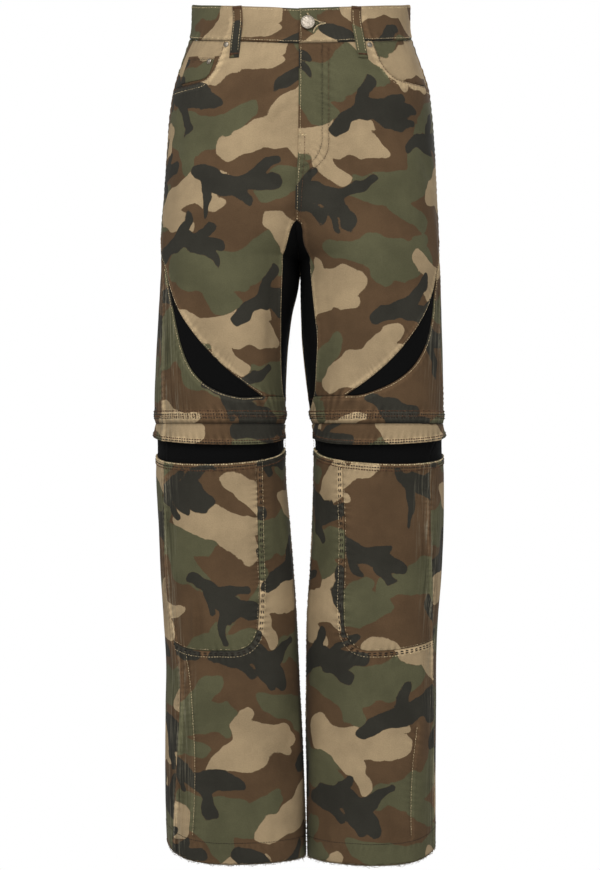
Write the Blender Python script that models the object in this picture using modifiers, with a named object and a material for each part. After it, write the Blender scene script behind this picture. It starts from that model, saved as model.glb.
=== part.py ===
"""Straight-leg jeans, filled out as if worn and hollow inside.

Black stretch crescents cross the outer thighs, black inserts run down the inner thighs, and a black
ring joins each thigh to its lower leg, so the leg opens in a slit under a hanging flap at the knee.

Frame: metres, +Z up, the garment faces -Y and the wearer's left is at +X. The origin is the centre of
the waist, where a wearer holds the garment up.

Each leg is a stack of horizontal sections. A point on the cloth is named by (u, z): u is the distance
round the leg from its side line, forwards positive, and z is the height. Both are given in millimetres.
Seam lines are short lists of such points. The cloth of one side is triangulated once between all its
seam lines, so neighbouring pieces share their edges, and what lies on a panel repeats that panel's points.
"""

from collections import namedtuple
from functools import lru_cache
import math

import bmesh
import bpy
import numpy
from mathutils import Vector
from mathutils.geometry import delaunay_2d_cdt

MM = 0.001

# ---------------------------------------------------------------- driving sizes, millimetres

TWILL = 1.5            # cotton twill, with its turned edges
KNIT = 1.2             # black stretch cloth
BAND = 2.6             # waistband, two layers of twill
SEAM_GAP = 0.3         # between neighbouring pieces, and between layers
WAISTBAND_HEIGHT = 43.5
THIGH_EDGE = -512.5    # height of the turned lower edge of the thigh
FORK = -305.0          # height where the legs part
CROTCH_END = -262.0    # where the front crotch seam meets the inner inserts
HIGHEST = 50.0
LOWEST = -1070.0
FLAP_FLARE = 3.2       # how far the knee flap stands out at its lower edge
FLAP_CLOSE = 245.0     # distance round from the side line where it lies close

FACET_ROUND = 30.0     # length of a facet round the leg
FACET_DOWN = 48.0      # height of a facet, and twice its height above the hip
HIP = -110.0
SEAM_STEP = 30.0       # longest straight stretch of a seam line
CLEAR_OF_SEAM = 9.0    # no free mesh point lies nearer to a seam line
ALMOST = 1.0           # a point this near to the cloth's edge is put on it

LOOP_WIDTH = 12.7
LOOP_THICKNESS = 1.6
BUTTON_RADIUS = 8.7
RIVET_RADIUS = 3.5

# ---------------------------------------------------------------- sections of the two legs

Section = namedtuple(
    "Section", "z right_outer right_inner left_outer left_inner front back side_y")

# outer and inner are distances from the centre plane, front and back are depths along Y, and side_y
# is the depth of the side line. Above the fork the inner distances aren't used.
SECTIONS = (
    Section(50, 136, 0, 139, 0, -106, 98, -2),
    Section(20, 137, 0, 140, 0, -108, 101, -1),
    Section(-20, 139, 0, 141, 0, -112, 108, 0),
    Section(-47, 148, 0, 150, 0, -115, 113, 0),
    Section(-85, 160, 0, 163, 0, -118, 120, 2),
    Section(-120, 166, 0, 168, 0, -120, 126, 3),
    Section(-160, 169, 0, 171, 0, -120, 130, 4),
    Section(-220, 173, 0, 174, 0, -119, 132, 4),
    Section(-262, 176, 0, 176, 0, -117, 129, 2),
    Section(-300, 177, 0, 177, 0, -115, 123, 0),
    Section(-318, 177, 0.3, 178, 0.3, -114, 120, -1),
    Section(-336, 178, 1.6, 179, 0.4, -113, 116, -2),
    Section(-373, 180, 10, 180, 1.2, -109, 108, -4),
    Section(-411, 182, 15, 181, 3, -105, 100, -5),
    Section(-450, 184, 17.5, 182, 7, -101, 92, -6),
    Section(-490, 185, 18.5, 182, 12, -97, 86, -7),
    Section(-535, 183, 19.5, 182, 18, -92, 79, -7),
    Section(-580, 183, 18, 183, 17, -88, 77, -6),
    Section(-640, 180, 13, 183, 15.5, -86, 79, -4),
    Section(-700, 177, 8.5, 181, 13, -84, 81, -2),
    Section(-760, 174, 4.5, 176, 9, -83, 81, -1),
    Section(-820, 171, 1.5, 174, 8, -82, 80, 0),
    Section(-880, 172, -1.5, 174, 7.5, -81, 79, 0),
    Section(-960, 172, -5, 173, 8.2, -80, 78, 0),
    Section(-1070, 169, -8, 173, 9.6, -79, 77, 0),
)

# How square the sections are: 2 is an ellipse, more is fuller at the corners.
SQUARENESS = ((50, 2.15), (-200, 2.35), (-400, 2.3), (-600, 2.2), (-1070, 2.2))
CROTCH_SHARPNESS = 4.0     # how late the front and back seams dive under towards the fork
SIGN = {"right": -1, "left": 1}
RING_POINTS = 397

# ---------------------------------------------------------------- seam lines, (u, z) in millimetres

def bowed(start, end, bulge, lean=0.0, steps=8):
    """A line that bows to the right of its direction; a lean moves the bow towards its end."""
    du = end[0] - start[0]
    dz = end[1] - start[1]
    points = []
    for step in range(steps + 1):
        t = step / steps
        out = 4 * t * (1 - t) * (1 + lean * (2 * t - 1)) * bulge / math.hypot(du, dz)
        points.append((start[0] + du * t + dz * out, start[1] + dz * t - du * out))
    return tuple(points)


def round_corner(before, corner, after, radius, steps=5):
    """A line round a corner, from one radius before it to one radius after it."""
    ends = []
    for other in (before, after):
        share = radius / math.dist(corner, other)
        ends.append([c + (o - c) * share for c, o in zip(corner, other)])
    points = []
    for step in range(steps + 1):
        t = step / steps
        points.append(tuple((1 - t) ** 2 * a + 2 * t * (1 - t) * c + t * t * b
                            for a, c, b in zip(ends[0], corner, ends[1])))
    return tuple(points)


WAIST_TOP = (*bowed((-240, 38), (0, 23), -6, 0, 4), *bowed((0, 23), (240, -6.5), 7.5, 0, 4)[1:])
YOKE_SEAM = ((-280, -80), (-120, -69), (15, -60))
HEM = {
    "right": ((-300, -1062), (-60, -1049), (0, -1043), (70, -1056), (200, -1059), (300, -1064)),
    "left": ((-300, -1064), (-60, -1051), (0, -1047), (70, -1058), (200, -1060), (300, -1066)),
}
FLAP_EDGE = ((-320, -530), *bowed((0, -528), (256, -532), 8, 0.2, 4), (320, -531))
SHIN_TOP = ((-320, -545), (-150, -552), *bowed((0, -551), (260, -543), 15, 0, 6), (320, -538))
KNEE_RING_TOP = THIGH_EDGE + 8
KNEE_RING_TUCK = 8         # how far the ring reaches under the top of the lower leg
KNEE_PANEL_EDGE = ((60, -787), *round_corner((60, -787), (170, -797), (178, -650), 42),
                   (178, -650), (183, -540))
KNEE_PANEL_FOOT = -784
BACK_POCKET = ((-208, -102), (-70, -94), (-77, -226), (-140, -250), (-203, -233))
COIN_POCKET = ((52, -53), (107, -60), *round_corner((107, -60), (111, -88), (52, -88), 15, 3), (52, -88))

OUTSEAM = {
    "right": ((15, 70), (15, -262), (50, -340), (55, -420), (55, -520), (42, -730), (62, -830),
              (57, -930), (36, -1080)),
    "left": ((15, 70), (15, -262), (38, -350), (40, -420), (18, -513), (58, -545), (62, -620),
             (38, -800), (22, -1080)),
}
POCKET_MOUTH = {
    "right": ((110, -20), *round_corner((110, -20), (117, -92), (15, -89), 27), (15, -89)),
    "left": ((117, -20), *round_corner((117, -20), (123, -91), (15, -87), 36), (15, -87)),
}
# From the side seam down round the front panel's lower outer edge, to the centre of the thigh.
FRONT_EDGE = {
    "right": ((15, -275), (40, -297), *bowed((62, -319), (200, -479), 14, 0.3)),
    "left": ((15, -280), (35, -300), *bowed((55, -318), (184, -478), 15, 0.15)),
}
CRESCENT_TIP = 2           # FRONT_EDGE's point where the black crescent starts
CRESCENT_EDGE = {
    "right": bowed((75, -348), (166, -480), 24, 0.75),
    "left": bowed((64, -350), (168, -478), 30, 0.1),
}
FRONT_FOOT = {"right": -477.0, "left": -479.0}
INSERT_EDGE = {
    "right": (*bowed((250, -265), (245, -445), 7, -0.6, 5),
              *round_corner((245, -445), (249, -490), (292, -492), 32, 3), (292, -492)),
    "left": (*bowed((256, -266), (236, -445), -2.5, -7.5, 5),
             *round_corner((236, -445), (239, -490), (284, -495), 32, 3), (284, -495)),
}

# ---------------------------------------------------------------- the shape of a leg


def smooth_column(z, values, heights):
    """Cubic through a column of the section table, in millimetres."""
    depth = -numpy.asarray(heights, float)
    slope = numpy.gradient(numpy.asarray(values, float), depth)
    row = min(max(int(numpy.searchsorted(depth, -z)) - 1, 0), len(depth) - 2)
    step = depth[row + 1] - depth[row]
    t = (-z - depth[row]) / step
    ease = t * t * (3 - 2 * t)
    leave = t * (1 - t) ** 2 * step * slope[row]
    arrive = t * t * (t - 1) * step * slope[row + 1]
    return values[row] * (1 - ease) + values[row + 1] * ease + leave + arrive


@lru_cache(maxsize=None)
def ring(side, z):
    """One section as arrays of u, x and y in millimetres, with the u where it meets the centre plane.

    The curve is a superellipse that runs a little past the leg's inner line at both ends. Above the fork
    its centre moves towards the centre plane, which it crosses where the seat's own seam cuts it.
    """
    heights = [row.z for row in SECTIONS]
    outer, inner, front, back, side_y = (
        smooth_column(z, [getattr(row, name) for row in SECTIONS], heights)
        for name in (side + "_outer", side + "_inner", "front", "back", "side_y"))
    if z > FORK:
        reach = ((HIGHEST - z) / (HIGHEST - FORK)) ** CROTCH_SHARPNESS
        half_width = outer / (1 + reach)
        centre = reach * half_width
    else:
        half_width = (outer - inner) / 2
        centre = (outer + inner) / 2
    power = float(numpy.interp(-z, [-row[0] for row in SQUARENESS], [row[1] for row in SQUARENESS]))
    angle = numpy.linspace(-1.1 * math.pi, 1.1 * math.pi, RING_POINTS)
    depth = numpy.where(angle < 0, back - side_y, side_y - front)
    radius = ((numpy.abs(numpy.cos(angle)) / half_width) ** power
              + (numpy.abs(numpy.sin(angle)) / depth) ** power) ** (-1 / power)
    x = centre + radius * numpy.cos(angle)
    y = side_y - radius * numpy.sin(angle)
    u = numpy.concatenate(([0], numpy.cumsum(numpy.hypot(numpy.diff(x), numpy.diff(y)))))
    middle = RING_POINTS // 2
    u -= u[middle]
    back_end, front_end = numpy.interp((-math.pi, math.pi), angle, u)
    if z > FORK:
        ahead = (angle >= 0) & (angle <= math.pi)
        behind = (angle <= 0) & (angle >= -math.pi)
        front_end = numpy.interp(0, -x[ahead], u[ahead])
        back_end = numpy.interp(0, x[behind], u[behind])
    return u, SIGN[side] * x, y, float(back_end), float(front_end)


def on_cloth(side, u, z):
    """Point of the cloth's outer face, in millimetres."""
    ring_u, ring_x, ring_y = ring(side, round(z, 3))[:3]
    return Vector((float(numpy.interp(u, ring_u, ring_x)), float(numpy.interp(u, ring_u, ring_y)), z))


def outward(side, u, z):
    """Unit normal of the cloth's outer face."""
    reach = 1.5
    round_leg = on_cloth(side, u + reach, z) - on_cloth(side, u - reach, z)
    up_leg = on_cloth(side, u, z + reach) - on_cloth(side, u, z - reach)
    return (up_leg.cross(round_leg) * SIGN[side]).normalized()


# ---------------------------------------------------------------- lines in (u, z)


def divided(line, closed=False):
    """The line with points added, so that no straight stretch is longer than SEAM_STEP."""
    corners = list(line) + ([line[0]] if closed else [])
    points = [corners[0]]
    for start, end in zip(corners, corners[1:]):
        steps = max(1, math.ceil(math.dist(start, end) / SEAM_STEP))
        points += [(start[0] + (end[0] - start[0]) * k / steps,
                    start[1] + (end[1] - start[1]) * k / steps) for k in range(1, steps + 1)]
    return points[:-1] if closed else points


def between(line, low, high, axis):
    """The stretch of a line between two values of u (axis 0) or z (axis 1), from low to high."""
    points = sorted(line, key=lambda point: point[axis])
    keys = [point[axis] for point in points]
    others = [point[1 - axis] for point in points]

    def at(key):
        other = float(numpy.interp(key, keys, others))
        return (key, other) if axis == 0 else (other, key)

    return [at(low)] + [point for point in points if low < point[axis] < high] + [at(high)]


def height_at(line, u):
    return between(line, u, u + 1, 0)[0][1]


def lowered(line, amount):
    return [(u, z - amount) for u, z in line]


def inside(point, polygon):
    """Whether a point lies in a polygon, by counting the edges that a ray crosses."""
    u, z = point
    crossings = 0
    for (u0, z0), (u1, z1) in zip(polygon, polygon[1:] + polygon[:1]):
        if (z0 > z) != (z1 > z) and u < u0 + (z - z0) / (z1 - z0) * (u1 - u0):
            crossings += 1
    return crossings % 2 == 1


def cloth_edge(side):
    """Outline of one side's whole cloth: down the centre front and inseam, up the inseam and back."""
    near_fork = [FORK + step for step in (58, 44, 30, 20, 12, 6, 2, 0.1, -0.1, -14)]
    heights = list(numpy.arange(HIGHEST, FORK + 60, -18.0)) + near_fork
    heights += list(numpy.arange(FORK - 38, LOWEST, -28.0)) + [LOWEST]
    front = [(ring(side, round(float(z), 3))[4], float(z)) for z in heights]
    back = [(ring(side, round(float(z), 3))[3], float(z)) for z in heights]
    return front + back[::-1]


# ---------------------------------------------------------------- which piece a point belongs to


def waist_seam():
    return lowered(WAIST_TOP, WAISTBAND_HEIGHT)


def outseam_at(side, z):
    return between(OUTSEAM[side], z, z + 1, 1)[0][0]


def crescent_outline(side):
    return list(FRONT_EDGE[side][CRESCENT_TIP:]) + list(CRESCENT_EDGE[side][::-1])


def front_foot(side):
    return list(FRONT_EDGE[side]) + [(320, FRONT_FOOT[side])]


def mouth_outline(side):
    return list(POCKET_MOUTH[side]) + [(OUTSEAM[side][0][0], 0)]


def insert_outline(side):
    return [(400, CROTCH_END), (240, CROTCH_END)] + list(INSERT_EDGE[side]) + [(400, FORK)]


def knee_panel_outline():
    return [(-40, KNEE_PANEL_FOOT)] + list(KNEE_PANEL_EDGE) + [(-40, THIGH_EDGE)]


def thigh_piece(side, u, z):
    """Piece of the thigh, between waist seam and turned edge."""
    if u < outseam_at(side, z):
        return "yoke" if z > height_at(YOKE_SEAM, u) else "back"
    if inside((u, z), mouth_outline(side)):
        return "pocket_facing"
    if inside((u, z), crescent_outline(side)):
        return "thigh_crescent"
    if inside((u, z), insert_outline(side)):
        return "inner_insert"
    return "front" if z > height_at(front_foot(side), u) else "thigh_side"


def base_piece(side, u, z):
    """Name of the piece that lies at a point of the cloth, or None where the cloth is open."""
    if not height_at(HEM[side], u) < z < height_at(WAIST_TOP, u):
        return None
    if z > height_at(waist_seam(), u):
        return "waistband"
    if z > THIGH_EDGE:
        return thigh_piece(side, u, z)
    ahead = u > outseam_at(side, z)
    if z > height_at(FLAP_EDGE, u):
        return "knee_flap_front" if ahead else "knee_flap_back"
    if z > height_at(SHIN_TOP, u):
        return None
    if not ahead:
        return "calf"
    return "knee_panel" if inside((u, z), knee_panel_outline()) else "shin"


def knee_ring_piece(side, u, z):
    """The black ring lies under the flap and under the top of the lower leg."""
    if not height_at(SHIN_TOP, u) - KNEE_RING_TUCK < z < KNEE_RING_TOP:
        return None
    return "knee_ring_front" if u > outseam_at(side, z) else "knee_ring_back"


def seam_lines(side):
    """Every line that the cloth of one side is cut or folded along."""
    outseam = OUTSEAM[side]
    waist = waist_seam()
    mouth_u = POCKET_MOUTH[side][0][0]
    crotch_u = ring(side, CROTCH_END)[4]
    lines = [
        WAIST_TOP, waist, YOKE_SEAM, HEM[side], FLAP_EDGE, SHIN_TOP,
        lowered(SHIN_TOP, KNEE_RING_TUCK),
        ((-400, THIGH_EDGE), (400, THIGH_EDGE)),
        ((-400, KNEE_RING_TOP), (400, KNEE_RING_TOP)),
        between(outseam, LOWEST, height_at(waist, outseam[0][0]), 1),
        [(mouth_u, height_at(waist, mouth_u))] + list(POCKET_MOUTH[side][1:]),
        front_foot(side),
        [FRONT_EDGE[side][CRESCENT_TIP]] + list(CRESCENT_EDGE[side]) + [FRONT_EDGE[side][-1]],
        [(crotch_u, CROTCH_END)] + list(INSERT_EDGE[side]),
        [(outseam_at(side, KNEE_PANEL_FOOT), KNEE_PANEL_FOOT)] + list(KNEE_PANEL_EDGE),
        list(BACK_POCKET) + [BACK_POCKET[0]],
    ]
    if side == "right":
        lines.append(list(COIN_POCKET) + [COIN_POCKET[0]])
    return lines


# ---------------------------------------------------------------- triangulated cloth


def clear_points(edge, segments):
    """A staggered grid of points inside the cloth that keep clear of every seam line."""
    starts = numpy.array([segment[0] for segment in segments])
    spans = numpy.array([segment[1] for segment in segments]) - starts
    lengths = (spans ** 2).sum(axis=1)
    found = []
    heights = list(numpy.arange(LOWEST + FACET_DOWN / 2, HIP, FACET_DOWN))
    heights += list(numpy.arange(HIP, HIGHEST, FACET_DOWN / 2))
    for row, z in enumerate(heights):
        for u in numpy.arange(-360 + FACET_ROUND / 2 * (row % 2), 360, FACET_ROUND):
            offset = numpy.array((u, z)) - starts
            along = numpy.clip((offset * spans).sum(axis=1) / lengths, 0, 1)
            nearest = numpy.sqrt(((offset - spans * along[:, None]) ** 2).sum(axis=1)).min()
            if nearest > CLEAR_OF_SEAM and inside((u, z), edge):
                found.append((float(u), float(z)))
    return found


def on_edge(side, u, z):
    """The point itself, or the nearest place on the cloth's edge where it lies almost on it."""
    for end in ring(side, round(min(max(z, LOWEST), HIGHEST), 3))[3:]:
        if abs(u - end) < ALMOST:
            return end, z
    return u, z


def cut_cloth(side):
    """Points and triangles, in (u, z), of one side's cloth, cut along all its seam lines."""
    edge = cloth_edge(side)
    points = []
    links = []
    for line, closed in [(edge, True)] + [(line, False) for line in seam_lines(side)]:
        first = len(points)
        points += divided(line, closed)
        links += [(k, k + 1) for k in range(first, len(points) - 1)]
        if closed:
            links.append((len(points) - 1, first))
    segments = [(points[a], points[b]) for a, b in links]
    points += clear_points(edge, segments)
    flat = [Vector(point) for point in points]
    joined, _, triangles = delaunay_2d_cdt(flat, links, [], 0, 0.05, False)[:3]
    corners = [on_edge(side, vertex.x, vertex.y) for vertex in joined]
    kept = []
    for triangle in triangles:
        centre = tuple(sum(corners[k][axis] for k in triangle) / 3 for axis in (0, 1))
        if inside(centre, edge):
            kept.append((tuple(triangle), centre))
    return corners, kept


SHARPEST = 0.05            # keeps a pointed corner from being drawn in too far


def drawn_in(corners, triangles):
    """Corner places of a piece, with its edges drawn in by half the gap between pieces."""
    owners = {}
    for triangle in triangles:
        for start, end, third in zip(triangle, triangle[1:] + triangle[:1], triangle[2:] + triangle[:2]):
            owners.setdefault(frozenset((start, end)), []).append((start, end, third))
    inwards = {}
    for (start, end, third), *others in owners.values():
        if others:
            continue
        a, b, c = (Vector(corners[k]) for k in (start, end, third))
        normal = Vector((a.y - b.y, b.x - a.x)).normalized()
        if normal.dot(c - a) < 0:
            normal.negate()
        for corner in (start, end):
            inwards.setdefault(corner, []).append(normal)
    places = {k: Vector(corners[k]) for triangle in triangles for k in triangle}
    for corner, normals in inwards.items():
        mean = sum(normals, Vector((0, 0)))
        spread = max(mean.dot(normals[0]), SHARPEST)
        places[corner] += mean * (SEAM_GAP / 2 / spread)
    return places


def own_half(side, point):
    """The point, kept clear of the centre plane down to the fork."""
    if point.z > FORK - FACET_DOWN / 2 and point.x * SIGN[side] < SEAM_GAP / 2:
        return Vector((SIGN[side] * SEAM_GAP / 2, point.y, point.z))
    return point


def shell(name, side, corners, triangles, lift, thickness, material):
    """Closed wall over a piece's triangles; lift(u, z) is its inner face's height above the cloth."""
    mesh = bmesh.new()
    layer = mesh.verts.layers.float_vector.new("outward")
    vertices = {}
    for corner, (u, z) in drawn_in(corners, triangles).items():
        normal = outward(side, u, z)
        low = own_half(side, on_cloth(side, u, z) + normal * lift(u, z))
        high = own_half(side, low + normal * thickness)
        vertex = mesh.verts.new(low * MM)
        vertex[layer] = (high - low) * MM
        vertices[corner] = vertex
    for triangle in triangles:
        mesh.faces.new([vertices[corner] for corner in triangle])
    return thickened(name, mesh, layer, material)


def thickened(name, mesh, layer, material):
    """Object of a sheet and its copy moved out by the sheet's stored vectors, with walls between."""
    sheet = mesh.faces[:] + mesh.edges[:] + mesh.verts[:]
    copied = bmesh.ops.extrude_face_region(mesh, geom=sheet, use_keep_orig=True)["geom"]
    for vertex in copied:
        if isinstance(vertex, bmesh.types.BMVert):
            vertex.co += vertex[layer]
    mesh.verts.layers.float_vector.remove(layer)
    bmesh.ops.recalc_face_normals(mesh, faces=mesh.faces)
    if mesh.calc_volume(signed=True) < 0:
        bmesh.ops.reverse_faces(mesh, faces=mesh.faces)
    data = bpy.data.meshes.new(name)
    mesh.to_mesh(data)
    mesh.free()
    data.materials.append(material)
    piece = bpy.data.objects.new(name, data)
    bpy.data.collections[COLLECTION].objects.link(piece)
    return piece


# ---------------------------------------------------------------- trims

LoopRow = namedtuple("LoopRow", "drop lift")
LOOP_ROWS = (LoopRow(1, 0.4), LoopRow(7, 1.0), LoopRow(18, 2.0), LoopRow(31, 2.4), LoopRow(43, 2.0),
             LoopRow(50, 1.3), LoopRow(57, 0.6), LoopRow(64, 0.5))
# Name, side, and u at the top and bottom of each loop; the back loop lies on the centre back.
FRONT_LOOPS = (("belt_loop_front_right", "right", 118, 137), ("belt_loop_front_left", "left", 129.5, 143))
SIDE_LOOPS = (("belt_loop_side_right", "right", -84, -88), ("belt_loop_side_left", "left", -84, -88))


def belt_loop(name, place, material):
    """Strip that stands a little off the waistband; place(across, drop) gives its point and normal."""
    mesh = bmesh.new()
    layer = mesh.verts.layers.float_vector.new("outward")
    rows = []
    for row in LOOP_ROWS:
        columns = []
        for across in (-LOOP_WIDTH / 2, 0, LOOP_WIDTH / 2):
            point, normal = place(across, row.drop)
            vertex = mesh.verts.new((point + normal * row.lift) * MM)
            vertex[layer] = normal * LOOP_THICKNESS * MM
            columns.append(vertex)
        rows.append(columns)
    for upper, lower in zip(rows, rows[1:]):
        for k in (0, 1):
            mesh.faces.new((upper[k], upper[k + 1], lower[k + 1], lower[k]))
    return thickened(name, mesh, layer, material)


def loop_on_side(side, top_u, bottom_u):
    def place(across, drop):
        u = top_u + (bottom_u - top_u) * drop / LOOP_ROWS[-1].drop + across
        z = height_at(WAIST_TOP, u - across) - drop
        return on_cloth(side, u, z), outward(side, u, z)
    return place


def loop_on_centre_back(across, drop):
    side = "right" if across < 0 else "left"
    z = height_at(WAIST_TOP, -200) - drop
    u = ring(side, round(z, 3))[3] + abs(across)
    normal = Vector((0, 1, 0)) if across == 0 else outward(side, u, z)
    return on_cloth(side, u, z), normal


def turned_disc(name, side, u, z, lift, profile, material):
    """A round trim turned from its profile, standing on the cloth at (u, z)."""
    data = bpy.data.meshes.new(name)
    points = [(radius * MM, 0, height * MM) for radius, height in profile]
    data.from_pydata(points, [(k, k + 1) for k in range(len(points) - 1)], [])
    data.materials.append(material)
    piece = bpy.data.objects.new(name, data)
    bpy.data.collections[COLLECTION].objects.link(piece)
    normal = outward(side, u, z)
    piece.location = (on_cloth(side, u, z) + normal * lift) * MM
    piece.rotation_euler = normal.to_track_quat("Z", "Y").to_euler()
    screw = piece.modifiers.new("turned", "SCREW")
    screw.steps = 24
    screw.render_steps = 24
    screw.use_merge_vertices = True
    screw.merge_threshold = 0.00001
    return piece


BUTTON_PROFILE = ((0, 3.2), (BUTTON_RADIUS - 2.2, 3.2), (BUTTON_RADIUS - 1.4, 3.6),
                  (BUTTON_RADIUS - 0.5, 3.4), (BUTTON_RADIUS, 2.8), (BUTTON_RADIUS - 0.4, 2.0),
                  (3.0, 1.8), (3.0, 0), (0, 0))
RIVET_PROFILE = ((0, 1.5), (1.4, 1.4), (2.6, 1.0), (RIVET_RADIUS, 0.5), (RIVET_RADIUS, 0), (0, 0))

# ---------------------------------------------------------------- materials and assembly

COLLECTION = "jeans"


def make_material(name, colour, roughness, metallic=0.0):
    material = bpy.data.materials.new(name)
    material.use_nodes = True
    shader = material.node_tree.nodes["Principled BSDF"]
    shader.inputs["Base Color"].default_value = (*colour, 1)
    shader.inputs["Roughness"].default_value = roughness
    shader.inputs["Metallic"].default_value = metallic
    material.diffuse_color = (*colour, 1)
    return material


def build_side(side, twill, knit):
    """All cloth pieces of one side."""
    corners, triangles = cut_cloth(side)
    pieces = {}
    for triangle, (u, z) in triangles:
        owners = [base_piece(side, u, z), knee_ring_piece(side, u, z)]
        if inside((u, z), list(BACK_POCKET)):
            owners.append("back_pocket")
        for owner in filter(None, owners):
            pieces.setdefault(owner, []).append(triangle)
    level = {
        "waistband": (lambda u, z: -BAND, BAND, twill),
        "thigh_crescent": (lambda u, z: -KNIT, KNIT, knit),
        "inner_insert": (lambda u, z: -KNIT, KNIT, knit),
        "knee_ring_front": (lambda u, z: -TWILL - SEAM_GAP - KNIT, KNIT, knit),
        "knee_ring_back": (lambda u, z: -TWILL - SEAM_GAP - KNIT, KNIT, knit),
        "knee_flap_front": (flap_lift, TWILL, twill),
        "knee_flap_back": (flap_lift, TWILL, twill),
        "back_pocket": (lambda u, z: SEAM_GAP, TWILL, twill),
    }
    for owner, owned in pieces.items():
        lift, thickness, material = level.get(owner, (lambda u, z: -TWILL, TWILL, twill))
        shell(f"{owner}_{side}", side, corners, owned, lift, thickness, material)
    if side == "right":
        owned = [triangle for triangle, centre in triangles if inside(centre, list(COIN_POCKET))]
        shell("coin_pocket", side, corners, owned, lambda u, z: SEAM_GAP, TWILL, twill)


def flap_lift(u, z):
    """The flap stands further out towards its lower edge, and not at all at the inseam."""
    down = (THIGH_EDGE - z) / (THIGH_EDGE - FLAP_EDGE[0][1])
    outer = max(0.0, 1 - (abs(u) / FLAP_CLOSE) ** 4)
    return -TWILL + FLAP_FLARE * down * outer


def main():
    for item in list(bpy.data.objects):
        bpy.data.objects.remove(item, do_unlink=True)
    bpy.context.scene.collection.children.link(bpy.data.collections.new(COLLECTION))
    twill = make_material("camouflage_twill", (0.17, 0.14, 0.09), 0.85)
    knit = make_material("black_knit", (0.006, 0.006, 0.007), 0.9)
    steel = make_material("brushed_steel", (0.55, 0.53, 0.5), 0.35, 1.0)
    for side in SIGN:
        build_side(side, twill, knit)
    for name, side, top_u, bottom_u in FRONT_LOOPS + SIDE_LOOPS:
        belt_loop(name, loop_on_side(side, top_u, bottom_u), twill)
    belt_loop("belt_loop_back", loop_on_centre_back, twill)
    turned_disc("button", "left", 195, -24.5, 0.5, BUTTON_PROFILE, steel)
    turned_disc("rivet_right", "right", 118.5, -47.5, SEAM_GAP, RIVET_PROFILE, steel)
    turned_disc("rivet_left", "left", 126.5, -48.5, SEAM_GAP, RIVET_PROFILE, steel)
    turned_disc("rivet_coin", "right", 101, -66, TWILL + 2 * SEAM_GAP, RIVET_PROFILE, steel)


main()
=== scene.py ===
"""Looks of the straight-leg camouflage jeans, filled out as worn.

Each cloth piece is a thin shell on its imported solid's form, cut again at a fine spacing between smooth
seam lines, with seam relief, soft folds, a woodland print, and stitches and frayed threads as real
geometry.

A point on the cloth is named by (u, z) in millimetres: u is the distance round the leg from its side
line, forwards positive, and z is the height. A place in the printed cloth is across and down.
"""

from collections import namedtuple
import math

import bpy
import numpy as np
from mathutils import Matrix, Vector
from mathutils.geometry import delaunay_2d_cdt
from mathutils.kdtree import KDTree


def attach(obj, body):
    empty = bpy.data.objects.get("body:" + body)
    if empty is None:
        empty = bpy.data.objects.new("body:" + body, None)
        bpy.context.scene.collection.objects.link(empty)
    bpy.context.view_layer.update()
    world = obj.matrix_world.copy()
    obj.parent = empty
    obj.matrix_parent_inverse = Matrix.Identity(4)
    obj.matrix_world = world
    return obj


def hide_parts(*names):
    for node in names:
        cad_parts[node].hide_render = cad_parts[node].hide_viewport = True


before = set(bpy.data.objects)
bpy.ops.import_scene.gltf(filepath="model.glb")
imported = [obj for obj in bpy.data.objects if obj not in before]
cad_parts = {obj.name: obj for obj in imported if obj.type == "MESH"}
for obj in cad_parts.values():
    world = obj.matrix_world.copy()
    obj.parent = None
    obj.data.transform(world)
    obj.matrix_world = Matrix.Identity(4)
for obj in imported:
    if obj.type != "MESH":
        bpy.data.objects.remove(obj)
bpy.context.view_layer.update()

MM = 0.001
SIGN = {"right": -1, "left": 1}

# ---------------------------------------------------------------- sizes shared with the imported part, mm

TWILL = 1.5
KNIT = 1.2
BAND = 2.6
WAISTBAND_HEIGHT = 43.5
THIGH_EDGE = -512.5
FORK = -305.0
CROTCH_END = -262.0
HIGHEST = 50.0
LOWEST = -1070.0
FLAP_FLARE = 3.2
FLAP_CLOSE = 245.0
LOOP_WIDTH = 12.7
LOOP_THICKNESS = 1.6

Section = namedtuple(
    "Section", "z right_outer right_inner left_outer left_inner front back side_y")

SECTIONS = np.array((
    Section(50, 136, 0, 139, 0, -106, 98, -2),
    Section(20, 137, 0, 140, 0, -108, 101, -1),
    Section(-20, 139, 0, 141, 0, -112, 108, 0),
    Section(-47, 148, 0, 150, 0, -115, 113, 0),
    Section(-85, 160, 0, 163, 0, -118, 120, 2),
    Section(-120, 166, 0, 168, 0, -120, 126, 3),
    Section(-160, 169, 0, 171, 0, -120, 130, 4),
    Section(-220, 173, 0, 174, 0, -119, 132, 4),
    Section(-262, 176, 0, 176, 0, -117, 129, 2),
    Section(-300, 177, 0, 177, 0, -115, 123, 0),
    Section(-318, 177, 0.3, 178, 0.3, -114, 120, -1),
    Section(-336, 178, 1.6, 179, 0.4, -113, 116, -2),
    Section(-373, 180, 10, 180, 1.2, -109, 108, -4),
    Section(-411, 182, 15, 181, 3, -105, 100, -5),
    Section(-450, 184, 17.5, 182, 7, -101, 92, -6),
    Section(-490, 185, 18.5, 182, 12, -97, 86, -7),
    Section(-535, 183, 19.5, 182, 18, -92, 79, -7),
    Section(-580, 183, 18, 183, 17, -88, 77, -6),
    Section(-640, 180, 13, 183, 15.5, -86, 79, -4),
    Section(-700, 177, 8.5, 181, 13, -84, 81, -2),
    Section(-760, 174, 4.5, 176, 9, -83, 81, -1),
    Section(-820, 171, 1.5, 174, 8, -82, 80, 0),
    Section(-880, 172, -1.5, 174, 7.5, -81, 79, 0),
    Section(-960, 172, -5, 173, 8.2, -80, 78, 0),
    Section(-1070, 169, -8, 173, 9.6, -79, 77, 0),
))
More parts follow.
